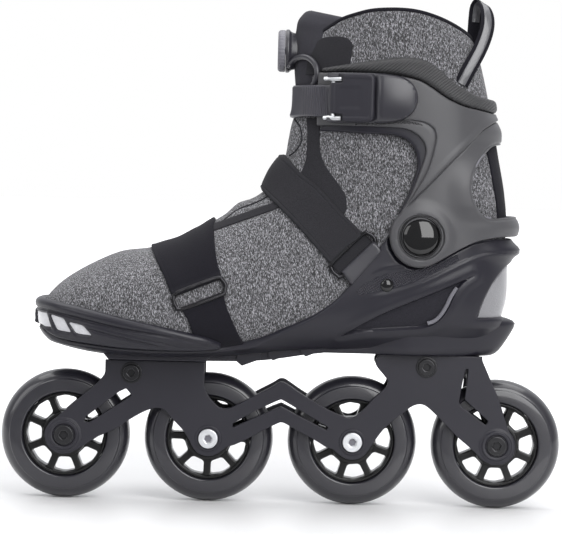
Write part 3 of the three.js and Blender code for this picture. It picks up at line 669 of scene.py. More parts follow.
def prismatic(name, colour, cell=1.3):
    """Reflector sheet: small facets under a clear face."""
    look = Look(name, colour, 0.32, coat_weight=0.5, coat_roughness=0.08)
    cells = look.node("ShaderNodeTexVoronoi", Vector=look.place((1 / cell,) * 3), Scale=1.0)
    look.relief(cells.outputs["Distance"], 0.25, 0.5)
    shade = look.ramp(cells.outputs["Distance"], (0.0, tuple(c * 0.9 for c in colour)), (0.8, colour))
    look.feed(look.shader.inputs["Base Color"], shade)
    return look.material


def urethane():
    """The tyres' hard rubber: a faint haze under a soft gloss."""
    look = Look("urethane", grey(0.013, 0.15), 0.36, coat_weight=0.5, coat_roughness=0.07)
    haze = look.noise((0.09,) * 3, 4.0, 0.6)
    look.vary_rough(haze, 0.28, 0.46)
    look.relief(look.noise((0.8,) * 3, 3.0, 0.6), 0.03, 0.4)
    return look.material


KNIT = heather_knit()
WEBBING = woven("black_webbing", grey(0.009, 0.15))
FELT = woven("black_felt", grey(0.022, 0.06), 0.7, 0.06)
LINING = woven("lining", grey(0.021, 0.1), 1.6, 0.3)
NEOPRENE = woven("neoprene", grey(0.034, 0.08), 1.1, 0.08)
SHELL = moulded("shell_plastic", grey(0.013, 0.18), 0.38, specular_ior_level=0.36)
CUFF = moulded("cuff_plastic", grey(0.060, 0.03), 0.42, specular_ior_level=0.36)
BUCKLE = moulded("buckle_plastic", grey(0.025, 0.1), 0.32)
LADDER = moulded("ladder_plastic", grey(0.040, 0.1), 0.38)
FRAME = moulded("frame_black", grey(0.018, 0.13), 0.4, 0.35, 0.02, specular_ior_level=0.3)
BLACK_STEEL = moulded("black_steel", grey(0.03), 0.24, 0.4, 0.02, metallic=0.6)
RING_STEEL = moulded("ring_steel", grey(0.032), 0.26, 0.4, 0.02, metallic=1.0)
LEVER = moulded("lever_plastic", grey(0.021, 0.12), 0.44, specular_ior_level=0.3)
HUB = moulded("hub_nylon", grey(0.006), 0.26, 0.6, 0.02, specular_ior_level=0.3)
# The dial's own grey, also used on the pocket and window rims as painted highlights and in the axle sockets
# as painted shade.
DIAL_AND_PAINTED_LIGHT = moulded("dial_grey", grey(0.125, 0.06), 0.42)
GLOSS = moulded("gloss_black", grey(0.006), 0.06, 3.0, 0.001, 0.02)
DOTS = dotted("dotted_plastic", grey(0.015, 0.18), 0.4)
CUFF_DOTS = dotted("dotted_cuff", grey(0.04), 0.4)
TRIM = hatched_rubber()
STEEL = brushed_steel()
WHITE_REFLECTOR = prismatic("white_reflector", (0.53, 0.53, 0.555))
GREY_REFLECTOR = prismatic("grey_reflector", (0.185, 0.185, 0.197), 0.9)
TYRE = urethane()
TAPE = prismatic("grey_tape", (0.08, 0.08, 0.088), 0.6)


# ---- wheels
HUB_TURN = (0, 21, 5, 0)  # how far each wheel happens to have turned, in degrees
SPOKES, SPOKE_HALF = 8, 2.3
OPEN_FROM, OPEN_TO = 15.9, 24.6  # the radii between which the hub is open


def tyre_profile():
    tread = [(34.4 + 7.6 * math.cos(t), 11.3 * math.sin(t)) for t in np.linspace(-1.36, 1.36, 25)]
    side = [(35.6, 11.75), (28.2, 12.1), (27.3, 11.2)]
    return [(r, -y) for r, y in reversed(side)] + tread + side


def hub_part(x, turn):
    windows = []
    for i in range(SPOKES):
        middle = math.radians(turn) + 2 * math.pi * i / SPOKES
        corners = []
        for r, sign in ((OPEN_FROM, -1), (OPEN_TO, -1), (OPEN_TO + 0.6, 0), (OPEN_TO, 1), (OPEN_FROM, 1)):
            a = middle + sign * (math.pi / SPOKES - math.asin(SPOKE_HALF / r))
            corners.append((x + r * math.cos(a), WHEEL_RADIUS + r * math.sin(a)))
        windows.append(np.array(rounded_profile(corners, 1.8, 5)))
    bore = disc_outline(10.9, 48, x, WHEEL_RADIUS)
    web = slab(disc_outline(26.2, 96, x, WHEEL_RADIUS), -6.2, 6.2, 0.8, [bore, *windows], 3)
    rim = lathe([(25.2, -8.6), (27.2, -8.6), (27.2, 8.6), (25.2, 8.6)], x, WHEEL_RADIUS, 96, 0.5)
    core = [(11.05, -12.1), (14.3, -12.1), (14.9, -6), (14.9, 6), (14.3, 12.1), (11.05, 12.1)]
    return joined([web, rim, lathe(core, x, WHEEL_RADIUS, 64, 0.5)])


def bearing_part(x, side):
    """The outer ring, the shield and the inner ring of a bearing."""
    rings = []
    for r0, r1, y0, y1 in ((9.4, 10.95, 5.1, 11.9), (5.7, 9.5, 5.6, 11.3), (4.2, 5.6, 5.1, 11.9)):
        rings.append(lathe([(r0, y0), (r1, y0), (r1, y1), (r0, y1)], x, WHEEL_RADIUS, 48, 0.25, side))
    return joined(rings)


def hex_head(x, z, y0, y1, radius, socket_painted_shade):
    """A round screw head with a hexagonal socket; y1 is its outer face."""
    low, high = min(y0, y1), max(y0, y1)
    floor = y0 * 0.75 + y1 * 0.25
    head = slab(disc_outline(radius, 48, x, z), low, high, 0.6, [disc_outline(socket_painted_shade, 6, x, z, 10)], 3)
    base = slab(disc_outline(radius - 0.4, 32, x, z), min(y0, floor), max(y0, floor), 0.1)
    return joined([head, base])


def make_wheels():
    for i, x in enumerate(AXLE_X):
        n, body = i + 1, f"wheel_{i + 1}_body"
        tyre = lathe(tyre_profile(), x, WHEEL_RADIUS, 160, 0.5)
        piece(f"wheel_{n}_tyre", tyre, TYRE, body, [f"tyre_{n}"], 25)
        piece(f"wheel_{n}_hub", hub_part(x, HUB_TURN[i]), HUB, body, [f"hub_{n}"])
        for side, word in SIDES:
            name = f"bearing_{word}_side_{n}"
            piece(f"wheel_{n}_bearing_{word}", bearing_part(x, side), STEEL, body, [name])
        dark = i in ENDS
        look, slot = (BLACK_STEEL, "black_steel") if dark else (STEEL, "bright_steel")
        shaft = [(0, -17), (3.95, -17), (3.95, -5), (5.1, -5), (5.1, 5), (3.95, 5), (3.95, 17.4), (0, 17.4)]
        shank = lathe(shaft, x, WHEEL_RADIUS, 32, 0.2)
        head = hex_head(x, WHEEL_RADIUS, -16.8, -19.6, 6.3, 2.9)
        nut = hex_head(x, WHEEL_RADIUS, 16.8, 18.6, 6.0, 2.6)
        piece(f"wheel_{n}_axle", joined([shank, head, nut]), look, "chassis", [f"axle_{n}"])
        # A disc on the floor of each axle head's socket: in the bright axles it is dull grey, painted shade
        # in the recess.
        socket_painted_shade = slab(disc_outline(2.4, 6, x, WHEEL_RADIUS, 10), -17.8, -17.4, 0.05)
        piece(f"wheel_{n}_socket", socket_painted_shade, look if dark else DIAL_AND_PAINTED_LIGHT, "chassis")


# ---- frame
PLATE_INSIDE, PLATE_OUTSIDE = 13.6, 17.2  # how far the plates' two faces are from the middle
CROSS_BOLTS = ((-97.5, 83.5), (93.5, 92))
END_RING = [(7.0, 16.9), (7.4, 18.3), (9.2, 18.5), (9.9, 17.6), (11.2, 17.5), (12.3, 16.6)]
MIDDLE_RING = [(6.7, 16.9), (7.0, 17.7), (8.4, 17.7), (9.2, 16.6)]
PLATE = outline(
    line((-114.5, 91.6), (-114.5, 84)),
    curve((-115, 82), (-118, 78), (-123, 73), (-130, 67), (-140, 58), (-147, 51.8), (-151.5, 47),
          (-152.8, 41), (-150.3, 34.2), (-144.5, 30.2), (-137.5, 29.8), (-131.5, 32.6)),
    curve((-118, 41.6), (-106, 47.3), (-98, 53), (-90, 57.8), (-84, 60.3), (-79, 61), (-75, 59.6), (-71, 55),
          (-68, 52), (-63, 46.8), (-58.5, 40)),
    curve((-57.5, 37.5), (-54, 33), (-49, 30.8), (-43.5, 30.9), (-38.5, 33.6), (-34.5, 37)),
    curve((-30, 38.2), (-22, 42), (-10, 48.8), (-2, 53), (0.5, 53.7), (3, 53), (10, 49.2), (22, 43),
          (30, 38.3)),
    curve((34.5, 37), (38.5, 33.6), (43.5, 30.9), (49, 30.8), (54, 33), (57.5, 37.2)),
    curve((61, 43), (66, 50), (72, 56), (80, 62.5), (84, 65.8), (88, 67.6), (92, 67.6), (96, 65.2),
          (101, 60.7), (110, 52), (115, 47), (124, 39.6), (131.5, 32.4)),
    curve((137.5, 29.6), (144.5, 30.2), (150.3, 34.2), (152.4, 40), (151, 47), (148, 52), (145, 60),
          (141, 72), (136, 83), (131.5, 93), (129.7, 97), (129.5, 99.7)),
    line((64, 99.7), (62, 98.6)),
    curve((60.6, 96), (60.6, 93), (63, 89.6), (67, 85), (69, 81.5), (67.4, 78)),
    curve((60, 71), (52, 62), (48, 58.8), (44, 57.7), (40, 59), (30, 63.2), (15, 71.5), (5, 78), (2, 79.7),
          (0, 80), (-2, 79.6), (-5, 77.5), (-15, 72), (-30, 63.6), (-36, 61.7), (-40, 62.5), (-44, 66),
          (-48, 71), (-50, 76)),
    line((-50, 91.6)),
)
SLOTS = (
    [(-127.5, 51), (-124, 50.4), (-96.8, 68.6), (-100.6, 73.2), (-105, 71), (-126.5, 54)],
    [(-31, 49.6), (-5, 62), (0.2, 64), (5, 61.6), (30, 49.4), (31, 51.4), (4, 66.6), (0, 68.7), (-4, 67),
     (-17, 60.6), (-31, 52.2)],
    [(118.8, 91.4), (120.6, 91.6), (119.6, 79), (118.7, 71.8), (134.6, 57.9), (133, 55.3), (116, 67.6),
     (115.2, 70), (117, 82)],
)


def frame_plate(side):
    low, high = sorted((side * PLATE_INSIDE, side * PLATE_OUTSIDE))
    holes = [np.array(rounded_profile(s, 0.8, 3)) for s in SLOTS]
    holes += [disc_outline(4.6, 24, x, WHEEL_RADIUS) for x in AXLE_X]
    holes += [disc_outline(3.3, 24, x, z) for x, z in CROSS_BOLTS]
    parts = [slab(PLATE, low, high, 0.45, holes, 3)]
    for i, x in enumerate(AXLE_X):
        ring = END_RING if i in ENDS else MIDDLE_RING
        base = [(ring[-1][0], 15.5), (ring[0][0], 15.5)]
        parts.append(lathe(ring + base, x, WHEEL_RADIUS, 72, 0.35, side))
        boss = [(4.4, 12.3), (6.8, 12.3), (8.2, 14), (4.4, 14)]
        parts.append(lathe(boss, x, WHEEL_RADIUS, 48, 0.3, side))
    return joined(parts)


def cross_screw(x, z):
    shank = lathe([(0, -17), (3, -17), (3, 17), (0, 17)], x, z, 24, 0.1)
    head = hex_head(x, z, -16.9, -19.6, 5.4, 2.5)
    washer = lathe([(5.2, -17.1), (6.9, -17.1), (6.9, -17.9), (5.2, -17.9)], x, z, 48, 0.25)
    return joined([shank, head, washer, hex_head(x, z, 16.9, 19.4, 5.2, 2.5)])


def sole_screw(x, low, high):
    """A screw that stands upright, its head at the lower end."""
    drop = low - high
    profile = [(0, drop), (5, drop), (5, drop + 3.4), (2.9, drop + 3.8), (2.9, 0), (0, 0)]
    points, faces = lathe(profile, 0, 0, 32, 0.2)
    return [(px + x, -pz, py + high) for px, py, pz in points], faces


def make_frame():
    for side, word in SIDES:
        piece(f"plate_{word}", frame_plate(side), FRAME, "chassis", [f"frame_plate_{word}"])
    front = outline(
        line((-112, 92), (-112, 83)), curve((-110, 79), (-105, 76.5), (-90, 76.5), (-84, 79), (-79, 84)),
        line((-70, 86), (-53, 86), (-53, 92)))
    rear = outline(
        line((66, 99.6), (66, 90)), curve((70, 86), (80, 83.5), (94, 82.5), (104, 84), (109, 88)),
        line((126, 88.5), (126, 99.6)))
    for word, shape, bolt in (("front", front, CROSS_BOLTS[0]), ("rear", rear, CROSS_BOLTS[1])):
        block = slab(shape, -13.4, 13.4, 0.5, [disc_outline(3.3, 24, *bolt)])
        piece(f"block_{word}", block, FRAME, "chassis", [f"mount_block_{word}"])
        screw = cross_screw(*bolt)
        piece(f"cross_screw_{word}", screw, BLACK_STEEL, "chassis", [f"cross_bolt_{word}"])
    for word, where in (("front", (-68, 82, 96.4)), ("rear", (116, 84.2, 104))):
        screw = sole_screw(*where)
        piece(f"sole_screw_{word}", screw, BLACK_STEEL, "chassis", [f"sole_bolt_{word}"])


# ---- soft boot
# The foot and the cuff bodies and two points, in metres, round where the knit bends between them; a piece
# given this is not attached to a body, and nothing here bends it.
BEND = ("chassis", "cuff_body", (-0.002, 0, 0.222), (0.0057, 0, 0.2452))
COLLAR_TOP = curve((8, 296), (12, 302), (17, 306.2), (25, 311.2), (32, 315.3), (40, 318), (50, 320.6),
                   (60, 321.6), (70, 321.8), (80, 321), (90, 318.8), (100, 315.4), (110, 310.8), (118, 306),
                   (124, 300), (130, 290))
UPPER = outline(line((-200, 60), (-200, 290)), COLLAR_TOP, line((200, 285), (200, 60)))


def beside_tongue(x, y, z):
    """Positive where the knit goes on beside and behind the opening for the tongue."""
    return np.maximum(np.maximum(np.abs(y) - 23 - (z - 262) * 0.05, 262 - z), x - 50)


def collar_binding():
    """A narrow band folded over the collar's rim."""
    def field(x, y, z):
        depth = inside(UPPER, x, z)
        band = np.minimum(depth + 0.3, 2.0 - depth)
        return np.minimum(band, np.minimum(beside_tongue(x, y, z), z - 240))

    def fold(x, y, z):
        return -8.2 + 3 * ease(5 - beside_tongue(x, y, z), 0, 5)

    return cover(field, fold, 0.3, edge=0.9)


def tongue_lobe(x, y, z):
    """The fold of the tongue that swells between the straps."""
    return 2.4 * np.exp(-(((x + 30.5) / 6.5) ** 2)) * ease(24 - np.abs(y), 0, 14) * (z > 150)


def knit_upper():
    def field(x, y, z):
        return np.minimum(inside(UPPER, x, z), beside_tongue(x, y, z))

    def pad(x, y, z):
        return -2.6 - 5.4 * ease(z, 215, 250)

    return pillow(field, pad, 0.0, 3.6, tongue_lobe)


def make_soft_boot():
    upper = piece("knit_upper", knit_upper(), KNIT, BEND, ["foot_upper", "ankle_upper"], 60)
    piece("collar_binding", collar_binding(), WEBBING, "cuff_body")
    piece("footbed", footbed(), LINING, "chassis", ["insole"])

    band = outline(curve((-50, 176), (-40, 179.8), (-28, 184.3), (-15, 189.2), (0, 195)),
                   curve((4, 200.5), (-8, 196.5), (-15, 194), (-28, 189), (-40, 184.3), (-52, 180)))
    piece("eyestay", cover(both(band), -0.3, 0.9, edge=0.5), FELT, "chassis")
    column = outline(
        curve((11.5, 251), (12, 240), (12, 232), (11, 222), (6, 210)),
        line((20, 190), (37, 189.5)),
        curve((38.6, 194), (38.3, 199), (36.5, 204), (31, 211.5), (24, 221), (20.5, 230), (20, 240),
              (20, 251)))
    piece("ankle_overlay", cover(both(column), -0.3, 0.7, edge=0.5), FELT, BEND)
    patch = outline(
        line((10, 279), (11, 290)), curve((16, 300), (21, 302.6), (30, 303.2), (36, 302), (39, 299)),
        curve((39.3, 296), (38, 285), (37, 276)))
    piece("collar_patch", cover(both(patch), -0.3, 0.8, edge=0.5), FELT, "cuff_body")
    strip = outline(
        line((150, 256), (121, 256)),
        curve((123, 251), (124.6, 246), (127.5, 235), (130.5, 224), (133, 212), (135.5, 200), (137.2, 186)),
        line((170, 186), (170, 256)))
    piece("heel_strip", cover(both(strip), -0.3, 1.0, edge=0.6), WEBBING, "cuff_body")
    seam = [(3, -9, 250.5), (7.5, -17, 246), (9.5, -20, 240), (9.5, -20, 235), (6.5, -16, 229), (4, -11, 226)]
    piece("tongue_seam", tube(hug(seam, 0.1), 0.55, 8), FELT, BEND)
    make_tongue()
    make_tongue_edge()


def footbed():
    """The lining under the foot, inside the form."""
    top = curve((-160, 112), (-130, 108.5), (-90, 107), (-50, 108), (-20, 111), (10, 113.8), (60, 116),
                (110, 117.5), (140, 125))
    return cover(both(outline(top, line((150, 80), (-160, 80)))), -5.2, -2.7, edge=1.5)


def make_tongue():
    """The padded tongue: a tall curved pad in front of the shin, rolled over at its top."""
    front = smooth([(6.4, 252.5), (5.4, 260), (4.4, 268), (3.2, 280), (2.4, 292), (2.6, 302), (4.0, 310),
                    (6.4, 316.6), (9.2, 320.4)], 2)
    widths = np.linspace(-1, 1, 73)
    outer, inner = [], []
    for i, (x, z) in enumerate(front):
        run = i / (len(front) - 1)
        half = 31 + 6 * run
        roll = max(0, run - 0.9) / 0.1
        swell = 0.9 * bump(np.array(run), 0.9, 0.08)
        for w in widths:
            y = w * half
            back = 62 * (1 - (1 - (abs(y) / 41.5) ** 2.3) ** (1 / 2.3))
            back += 8.5 * run * ease(np.array(abs(y)), 4, 36)
            drop = 8.0 * run**3 * abs(w) ** 1.8
            thick = 8.5 * math.sqrt(1 - abs(w) ** 8) * math.sqrt(1 - 0.8 * roll**2) + 0.5
            slope = math.atan2(0.9 * abs(y), 41) * np.sign(y)
            along, across = math.cos(slope), math.sin(slope)
            outer.append((x + back - swell * along, y + swell * across, z - drop))
            inner.append((x + back + thick * along, y - thick * across, z - drop + 1.2 * run))
    part = between(outer, inner, grid_faces(len(front), len(widths), around=False))
    made = piece("tongue_pad", part, NEOPRENE, "cuff_body", ["tongue"], 70)
    made.modifiers.new("soft", "SUBSURF").render_levels = 1


def make_tongue_edge():
    """The dark edge of the tongue's lower end, where it shows between the eye stays."""
    edge = ((-46, 19, 182), (-41, 17, 185), (-36, 15.5, 188.5), (-30, 15.5, 192), (-22, 16, 197),
            (-12, 18, 202))
    for side, word in SIDES:
        path = hug([(x, side * y, z) for x, y, z in edge], lambda x, y, z: tongue_lobe(x, y, z) + 0.1)
        piece(f"tongue_edge_{word}", tube(path, 0.6, 8), FELT, "chassis")


# ---- straps over the foot
RING_LOW, RING_HIGH = (-53.5, 137.5), (43.6, 164.6)  # the centres of the two wire rings
TURN_LOW, TURN_HIGH = 22, 45  # how far each is turned, in degrees
WIRE = 1.25


def wire_ring(centre, length, height, radius, turn, lift):
    """A wire ring that lies against the boot."""
    shape = rounded_box_outline(length, height, radius, *centre, turn)
    flat = smooth([tuple(p) for p in shape[::3]] + [tuple(shape[0])], 2.0)[:-1]
    return tube(on_form(flat, -1, lift), WIRE, 12, closed=True)


def beside(centre, turn, along, across):
    """A point beside a centre, so far along and across a direction turned by degrees."""
    c, s = math.cos(math.radians(turn)), math.sin(math.radians(turn))
    return centre[0] + along * c - across * s, centre[1] + along * s + across * c


def strap_detail(shape, looped, turn, centre, hem=0.12):
    """Webbing that sags a little, is stitched inside its edges and swells where it loops round a ring."""
    def detail(x, y, z):
        d = inside(shape, x, z)
        c, s = math.cos(math.radians(turn)), math.sin(math.radians(turn))
        from_ring = np.abs((z - centre[1]) * c - (x - centre[0]) * s)
        sag = 0.3 * np.sin(x * 0.16 + z * 0.11) * np.cos(z * 0.07)
        across = ((x + 9.75) * c + (z - 215.5) * s) / 15
        bridge = 4.2 * np.clip(1 - across**2, 0, 1) * ease(26 - np.abs(y), 0, 20) * (z > 190)
        dip = 1.0 * bump(x, -70, 11) * ease(z, 142, 160) - 0.3 * bump(x, -50, 7) * ease(z, 152, 172)
        return sag - hem * bump(d, 2.4, 0.7) + looped * bump(from_ring, 5.6, 3.6) + bridge - dip
    return detail


def make_straps():
    hem = (1.7, 2.4, 3.1)
    end = [beside(RING_LOW, TURN_LOW, along, 4.0) for along in (-17, 17)]
    over = outline(
        line((-88, 168), (-86, 164.5)), curve((-80, 154), (-76, 147), (-73, 140), end[0]),
        curve(end[1], (-41, 152), (-43.5, 160), (-45.5, 170), (-47, 181)), line((-46, 190), (-75, 190)))
    webbing = strap_detail(over, 1.2, TURN_LOW, RING_LOW)
    made = cover(both(over), 0.2, 2.0, webbing, 0.8, ((both(over), hem),))
    piece("forefoot_strap_over", made, WEBBING, "chassis", ["forefoot_strap"])

    top = [beside(RING_LOW, TURN_LOW, along, -4.0) for along in (14.5, -14.5)]
    low = outline(
        curve(top[1], (-62, 123), (-60, 119.5), (-57, 111), (-55, 104)), line((-24, 101)),
        curve((-24.5, 104.5), (-28.5, 112), (-34, 124.5), (-37.0, 132), top[0]))
    for side, word in SIDES:
        band = cover(one_side(low, side), 0.2, 1.7, strap_detail(low, 1.2, TURN_LOW, RING_LOW), 0.7)
        replaced = ["forefoot_anchor"] if side < 0 else ()
        piece(f"forefoot_strap_low_{word}", band, WEBBING, "chassis", replaced)
    ring = wire_ring(RING_LOW, 34.4, 11.6, 5.4, TURN_LOW, 2.4)
    piece("forefoot_wire_ring", ring, RING_STEEL, "chassis", ["forefoot_ring"])

    band = outline(
        curve((-22, 212), (-17.5, 205), (-8, 196.4), (2, 187), (10, 179), (20, 168.4), (29.6, 157.6)),
        line((49.6, 177.2)),
        curve((44, 183.4), (35, 191.4), (20, 207), (10, 214.2), (-2, 226), (-8, 232)))
    felt = strap_detail(band, 1.4, TURN_HIGH, RING_HIGH, 0.35)
    made = cover(both(band), 0.2, 2.3, felt, 1.0, ((both(band), hem),))
    under = outline(line((27, 160), (36.5, 150), (58, 170.5), (48, 180)))
    lining = cover(one_side(under), 0.1, 0.9, edge=0.5)
    piece("instep_strap_over", joined([made, lining]), FELT, "chassis", ["instep_strap"])
    ring = wire_ring(RING_HIGH, 34, 11, 4.8, TURN_HIGH, 2.7)
    piece("instep_wire_ring", ring, RING_STEEL, "chassis", ["instep_ring"])
    tab = outline(line((36.2, 153.6), (43, 144.6), (62, 167.4), (56.4, 173.6)))
    tab = cover(one_side(tab), 0.6, 5.0, edge=1.4)
    piece("instep_tab", tab, BUCKLE, "chassis", ["instep_anchor"])


# ---- shell
WING = curve((-60, 98.6), (-40, 100.2), (-22, 104.2), (-10, 108.6), (0, 113.8), (10, 118.9), (20, 124.4),
             (31, 132.6), (39, 141), (47, 151), (56, 163), (64, 174), (73, 184), (84, 189), (94, 187),
             (101, 180), (104, 172), (106, 167.6))
SHELL_TOP = curve((110, 169.6), (120, 174), (130, 176), (140, 176.3), (170, 176.3))
HEEL_TIP = curve((170, 162), (152, 161.8), (147, 160.4), (142.5, 157.6), (138.5, 153.4), (134, 147.5),
                 (130, 140), (127, 133), (124.6, 124.8))
RECESS = outline(
    curve((37, 111.4), (50, 114.4), (70, 116.2), (88, 117.8), (96, 120.4), (101, 124.5), (105.5, 131.5),
          (109.5, 141), (114, 147.5), (121, 152.8)),
    curve((110, 147.6), (95, 141), (80, 134.5), (65, 127.8), (50, 119.6)))
BAND = outline(
    curve((42, 143), (52, 150.2), (62, 155), (75, 157.4), (85, 158.6), (95, 161), (107, 167)),
    curve((118, 172.6), (130, 175.4), (150, 175.6)),
    curve((150, 167.8), (130, 167), (118, 163.8), (105, 157.4), (90, 149.8), (75, 143.8), (60, 139.6),
          (44, 136.4)))
DOT_BAND = outline(
    curve((46, 141.6), (54, 148.4), (64, 152.6), (75, 154.8), (86, 156.4), (98, 160.6), (110, 166.2)),
    curve((112, 162.8), (105, 159), (90, 151.4), (75, 145.4), (60, 141.2), (48, 138.6)))
CUFF_LOW = [(67, 184), (66, 177), (67.5, 169.4), (72, 162.4), (79, 158.2), (86, 157), (92, 159), (100, 163.6),
            (110, 169.6), (120, 174.4), (130, 176.8), (140, 177.6), (160, 177.6)]


def shell_detail(x, y, z):
    """The shell's relief: the pocket, the stepped band, ridges behind, a groove by the cuff and the flare."""
    d = inside(RECESS, x, z)
    height = -2.7 * ease(d, -0.2, 0.7)
    height += 0.5 * bump(d, -3.5, 4.5)
    band = inside(BAND, x, z)
    height -= ease(x, 52, 76) * (0.55 * ease(band, -0.35, 0.35) - 0.35 * bump(band, -1.6, 1.5))
    height += 1.4 * ease(x, 96, 138) * np.exp(-(((z - 120.5) / 3.6) ** 2))
    height += 6.4 * ease(x, 122, 149) * np.exp(-(((z - 169.0) / 4.6) ** 2))
    height -= 2.4 * bump(path_distance(CUFF_LOW, x, z), 0, 2.2)
    flare = 0.9 * np.exp(-(((z - 103.5) / 2.4) ** 2)) * ease(x, -170, -150)
    return height + flare * (np.abs(y) > 12)


# The block under the heel: height, its back end and its half width in front.
HEEL_BLOCK = ((125.5, 139, 30), (124.6, 145, 32), (122.9, 149.6, 33.2), (121, 151.2, 33.6),
              (118, 150.4, 33.2), (114, 148.2, 32.4), (110, 145.8, 31.6), (106, 143.2, 31),
              (103.2, 141, 30.4), (101.2, 138.8, 29.4), (99.9, 136, 28))
BLOCK_FRONT = 44


def heel_block():
    """The lower body of the shell under the heel, down to the rear mount: rows round it from high to low."""
    points = []
    turns = np.linspace(0, math.pi, 97)
    for z, back, wide in HEEL_BLOCK:
        for t in turns:
            along = abs(math.cos(t - math.pi / 2)) ** 0.8
            x = BLOCK_FRONT + (back - BLOCK_FRONT) * along
            u = min(1.0, max(0.0, (x - 10) / (back - 10)))
            taper = 1 - 0.4 * (1 - float(ease(np.array(x), 44, 84)))
            y = wide * taper * math.sqrt(1 - u**2.8) * (-1 if t < math.pi / 2 else 1)
            points.append((x, y, z))
    count = len(turns)
    caps = [tuple(reversed(range(count))), tuple(range(len(points) - count, len(points)))]
    return points, grid_faces(len(HEEL_BLOCK), count) + caps


def sole_parts():
    """What joins the shell to the frame: two mounts, the arch between them, its lugs and the heel block."""
    mounts = ((-26, line((-112, 92.4), (-50, 92.4), (-44, 97), (-116, 97))),
              (-18, line((62, 100.2), (118, 100.2), (118, 105), (58, 105))))
    parts = [slab(outline(shape), low, -low, 0.8) for low, shape in mounts]
    arch = outline(
        line((-60, 92.4), (-50, 92.4)), curve((-28, 92.8), (-13, 93.8), (0, 95.6), (14, 98), (27, 99.8)),
        line((80, 99.9), (80, 105), (20, 105), (-60, 100)))
    parts += [slab(arch, -20, 20, 1.6), heel_block()]
    for x, z in ((-21.5, 91.3), (-1.5, 95.3), (19.5, 98.4)):
        tooth = line((x - 8, z + 1.6), (x - 4.5, z - 1.2), (x + 7.5, z + 3.4), (x + 7.5, z + 8),
                     (x - 8, z + 7))
        parts.append(slab(outline(tooth), -22, 22, 0.5))
    return parts


def make_shell():
    sole = curve((-170, 113), (-158, 111), (-150, 106.2), (-140, 103.2), (-120, 101), (-100, 99.2),
                 (-80, 98.6))
    region = outline(sole, WING, SHELL_TOP, HEEL_TIP, line((170, 124.8), (170, 60), (-170, 60)))
    cuts = ((both(RECESS), (-3.2, -1.4, -0.2, 0.35, 0.9)), (both(BAND), (-1.6, -0.35, 0.35)),
            (off(CUFF_LOW), (0.6, 1.4, 2.2)))
    shell = cover(both(region), 0.4, 4.0, shell_detail, 1.1, cuts)
    piece("shell", joined([shell, *sole_parts()]), SHELL, "chassis", ["sole_shell"], 50)
    # A light grey cord along each pocket's edge: a painted highlight on the black shell's rim.
    rim = curve((92.5, 121.4), (96.8, 123), (100.6, 126.8), (104, 132.6), (107.2, 139.8), (110.4, 145))
    for side, word in SIDES:
        pocket = cover(one_side(RECESS, side), 0.9, 1.6, edge=0.5)
        piece(f"pocket_{word}", pocket, LINING, "chassis")
        piece(f"pocket_rim_painted_highlight_{word}", tube(on_form(rim, side, 3.0), 1.3, 12), DIAL_AND_PAINTED_LIGHT, "chassis")
        pads = cover(one_side(DOT_BAND, side), 2.4, lambda x, y, z: 4.1 - 0.55 * ease(x, 52, 76), edge=0.3)
        piece(f"shell_dots_{word}", pads, DOTS, "chassis")
        place, out = spot(65.5, 145.4, side, 3.6)
        piece(f"shell_rivet_{word}", button(place, out, 4.2, 2.2), GLOSS, "chassis")


def button(place, out, radius, height):
    """A domed rivet head on a surface."""
    rows, around = 8, 32
    turn = Vector(out).to_track_quat("Z", "Y")
    points = []
    for i in range(rows + 1):
        a = i / rows * math.pi / 2
        for k in range(around):
            b = 2 * math.pi * k / around
            reach = radius * math.cos(a)
            point = Vector((reach * math.cos(b), reach * math.sin(b), height * math.sin(a)))
            points.append(tuple(turn @ point + Vector(place)))
    return points, [*grid_faces(rows + 1, around), tuple(reversed(range(around)))]


# ---- toe bumper
BUMPER_TOP = curve((-175, 131.6), (-160, 131.6), (-154, 131.2), (-140, 128.8), (-120, 124.8), (-100, 120.2),
                   (-80, 115.8), (-60, 110.8), (-48, 107.6), (-39, 103.4))
BUMPER_LOW = curve((-39, 100.6), (-60, 99.0), (-100, 99.8), (-120, 101.6), (-140, 103.8), (-150, 106.8),
                   (-158, 111.4), (-175, 114))
WINDOWS = [np.array(rounded_profile(w, 1.0, 4)) for w in (
    [(-150.8, 120.6), (-141.4, 118.4), (-136.4, 109.4), (-145.6, 110.4)],
    [(-137.8, 116.4), (-128.4, 114.6), (-122.4, 108.0), (-132.4, 109.0)])]


def nose_window(x, y, z):
    """The window that wraps round the toe, one each side of the middle."""
    high = np.minimum(z - 112.2, 121.6 - z)
    return np.minimum(high, np.minimum(-151.8 - x - 0.35 * (z - 116), np.abs(y - 6) - 5))


def window_field(x, y, z):
    """Positive in the openings that the reflector shows through."""
    return np.maximum(np.maximum(inside(WINDOWS[0], x, z), inside(WINDOWS[1], x, z)), nose_window(x, y, z))


def bumper_detail(x, y, z):
    """The bumper's relief: a bead and grooves under its top edge, a bead below, and sunk window rims."""
    d = path_distance(BUMPER_TOP, x, z)
    low = path_distance(BUMPER_LOW, x, z)
    front = ease(-x, 50, 120)
    height = 0.9 * bump(d, 3.8, 3.6) * front - 1.4 * bump(d, 3.4 + 4.4 * front, 1.7) * ease(-x, 40, 90)
    height -= 0.9 * bump(d, 12.8, 1.3) * ease(x, -142, -122) * ease(-x, 70, 90)
    height -= 0.6 * bump(d, 9.8, 1.0) * ease(x, -120, -105) * ease(-x, 60, 76)
    height += 0.8 * bump(low, 1.8, 2.2)
    return height - 0.7 * ease(window_field(x, y, z), -1.6, -0.3)


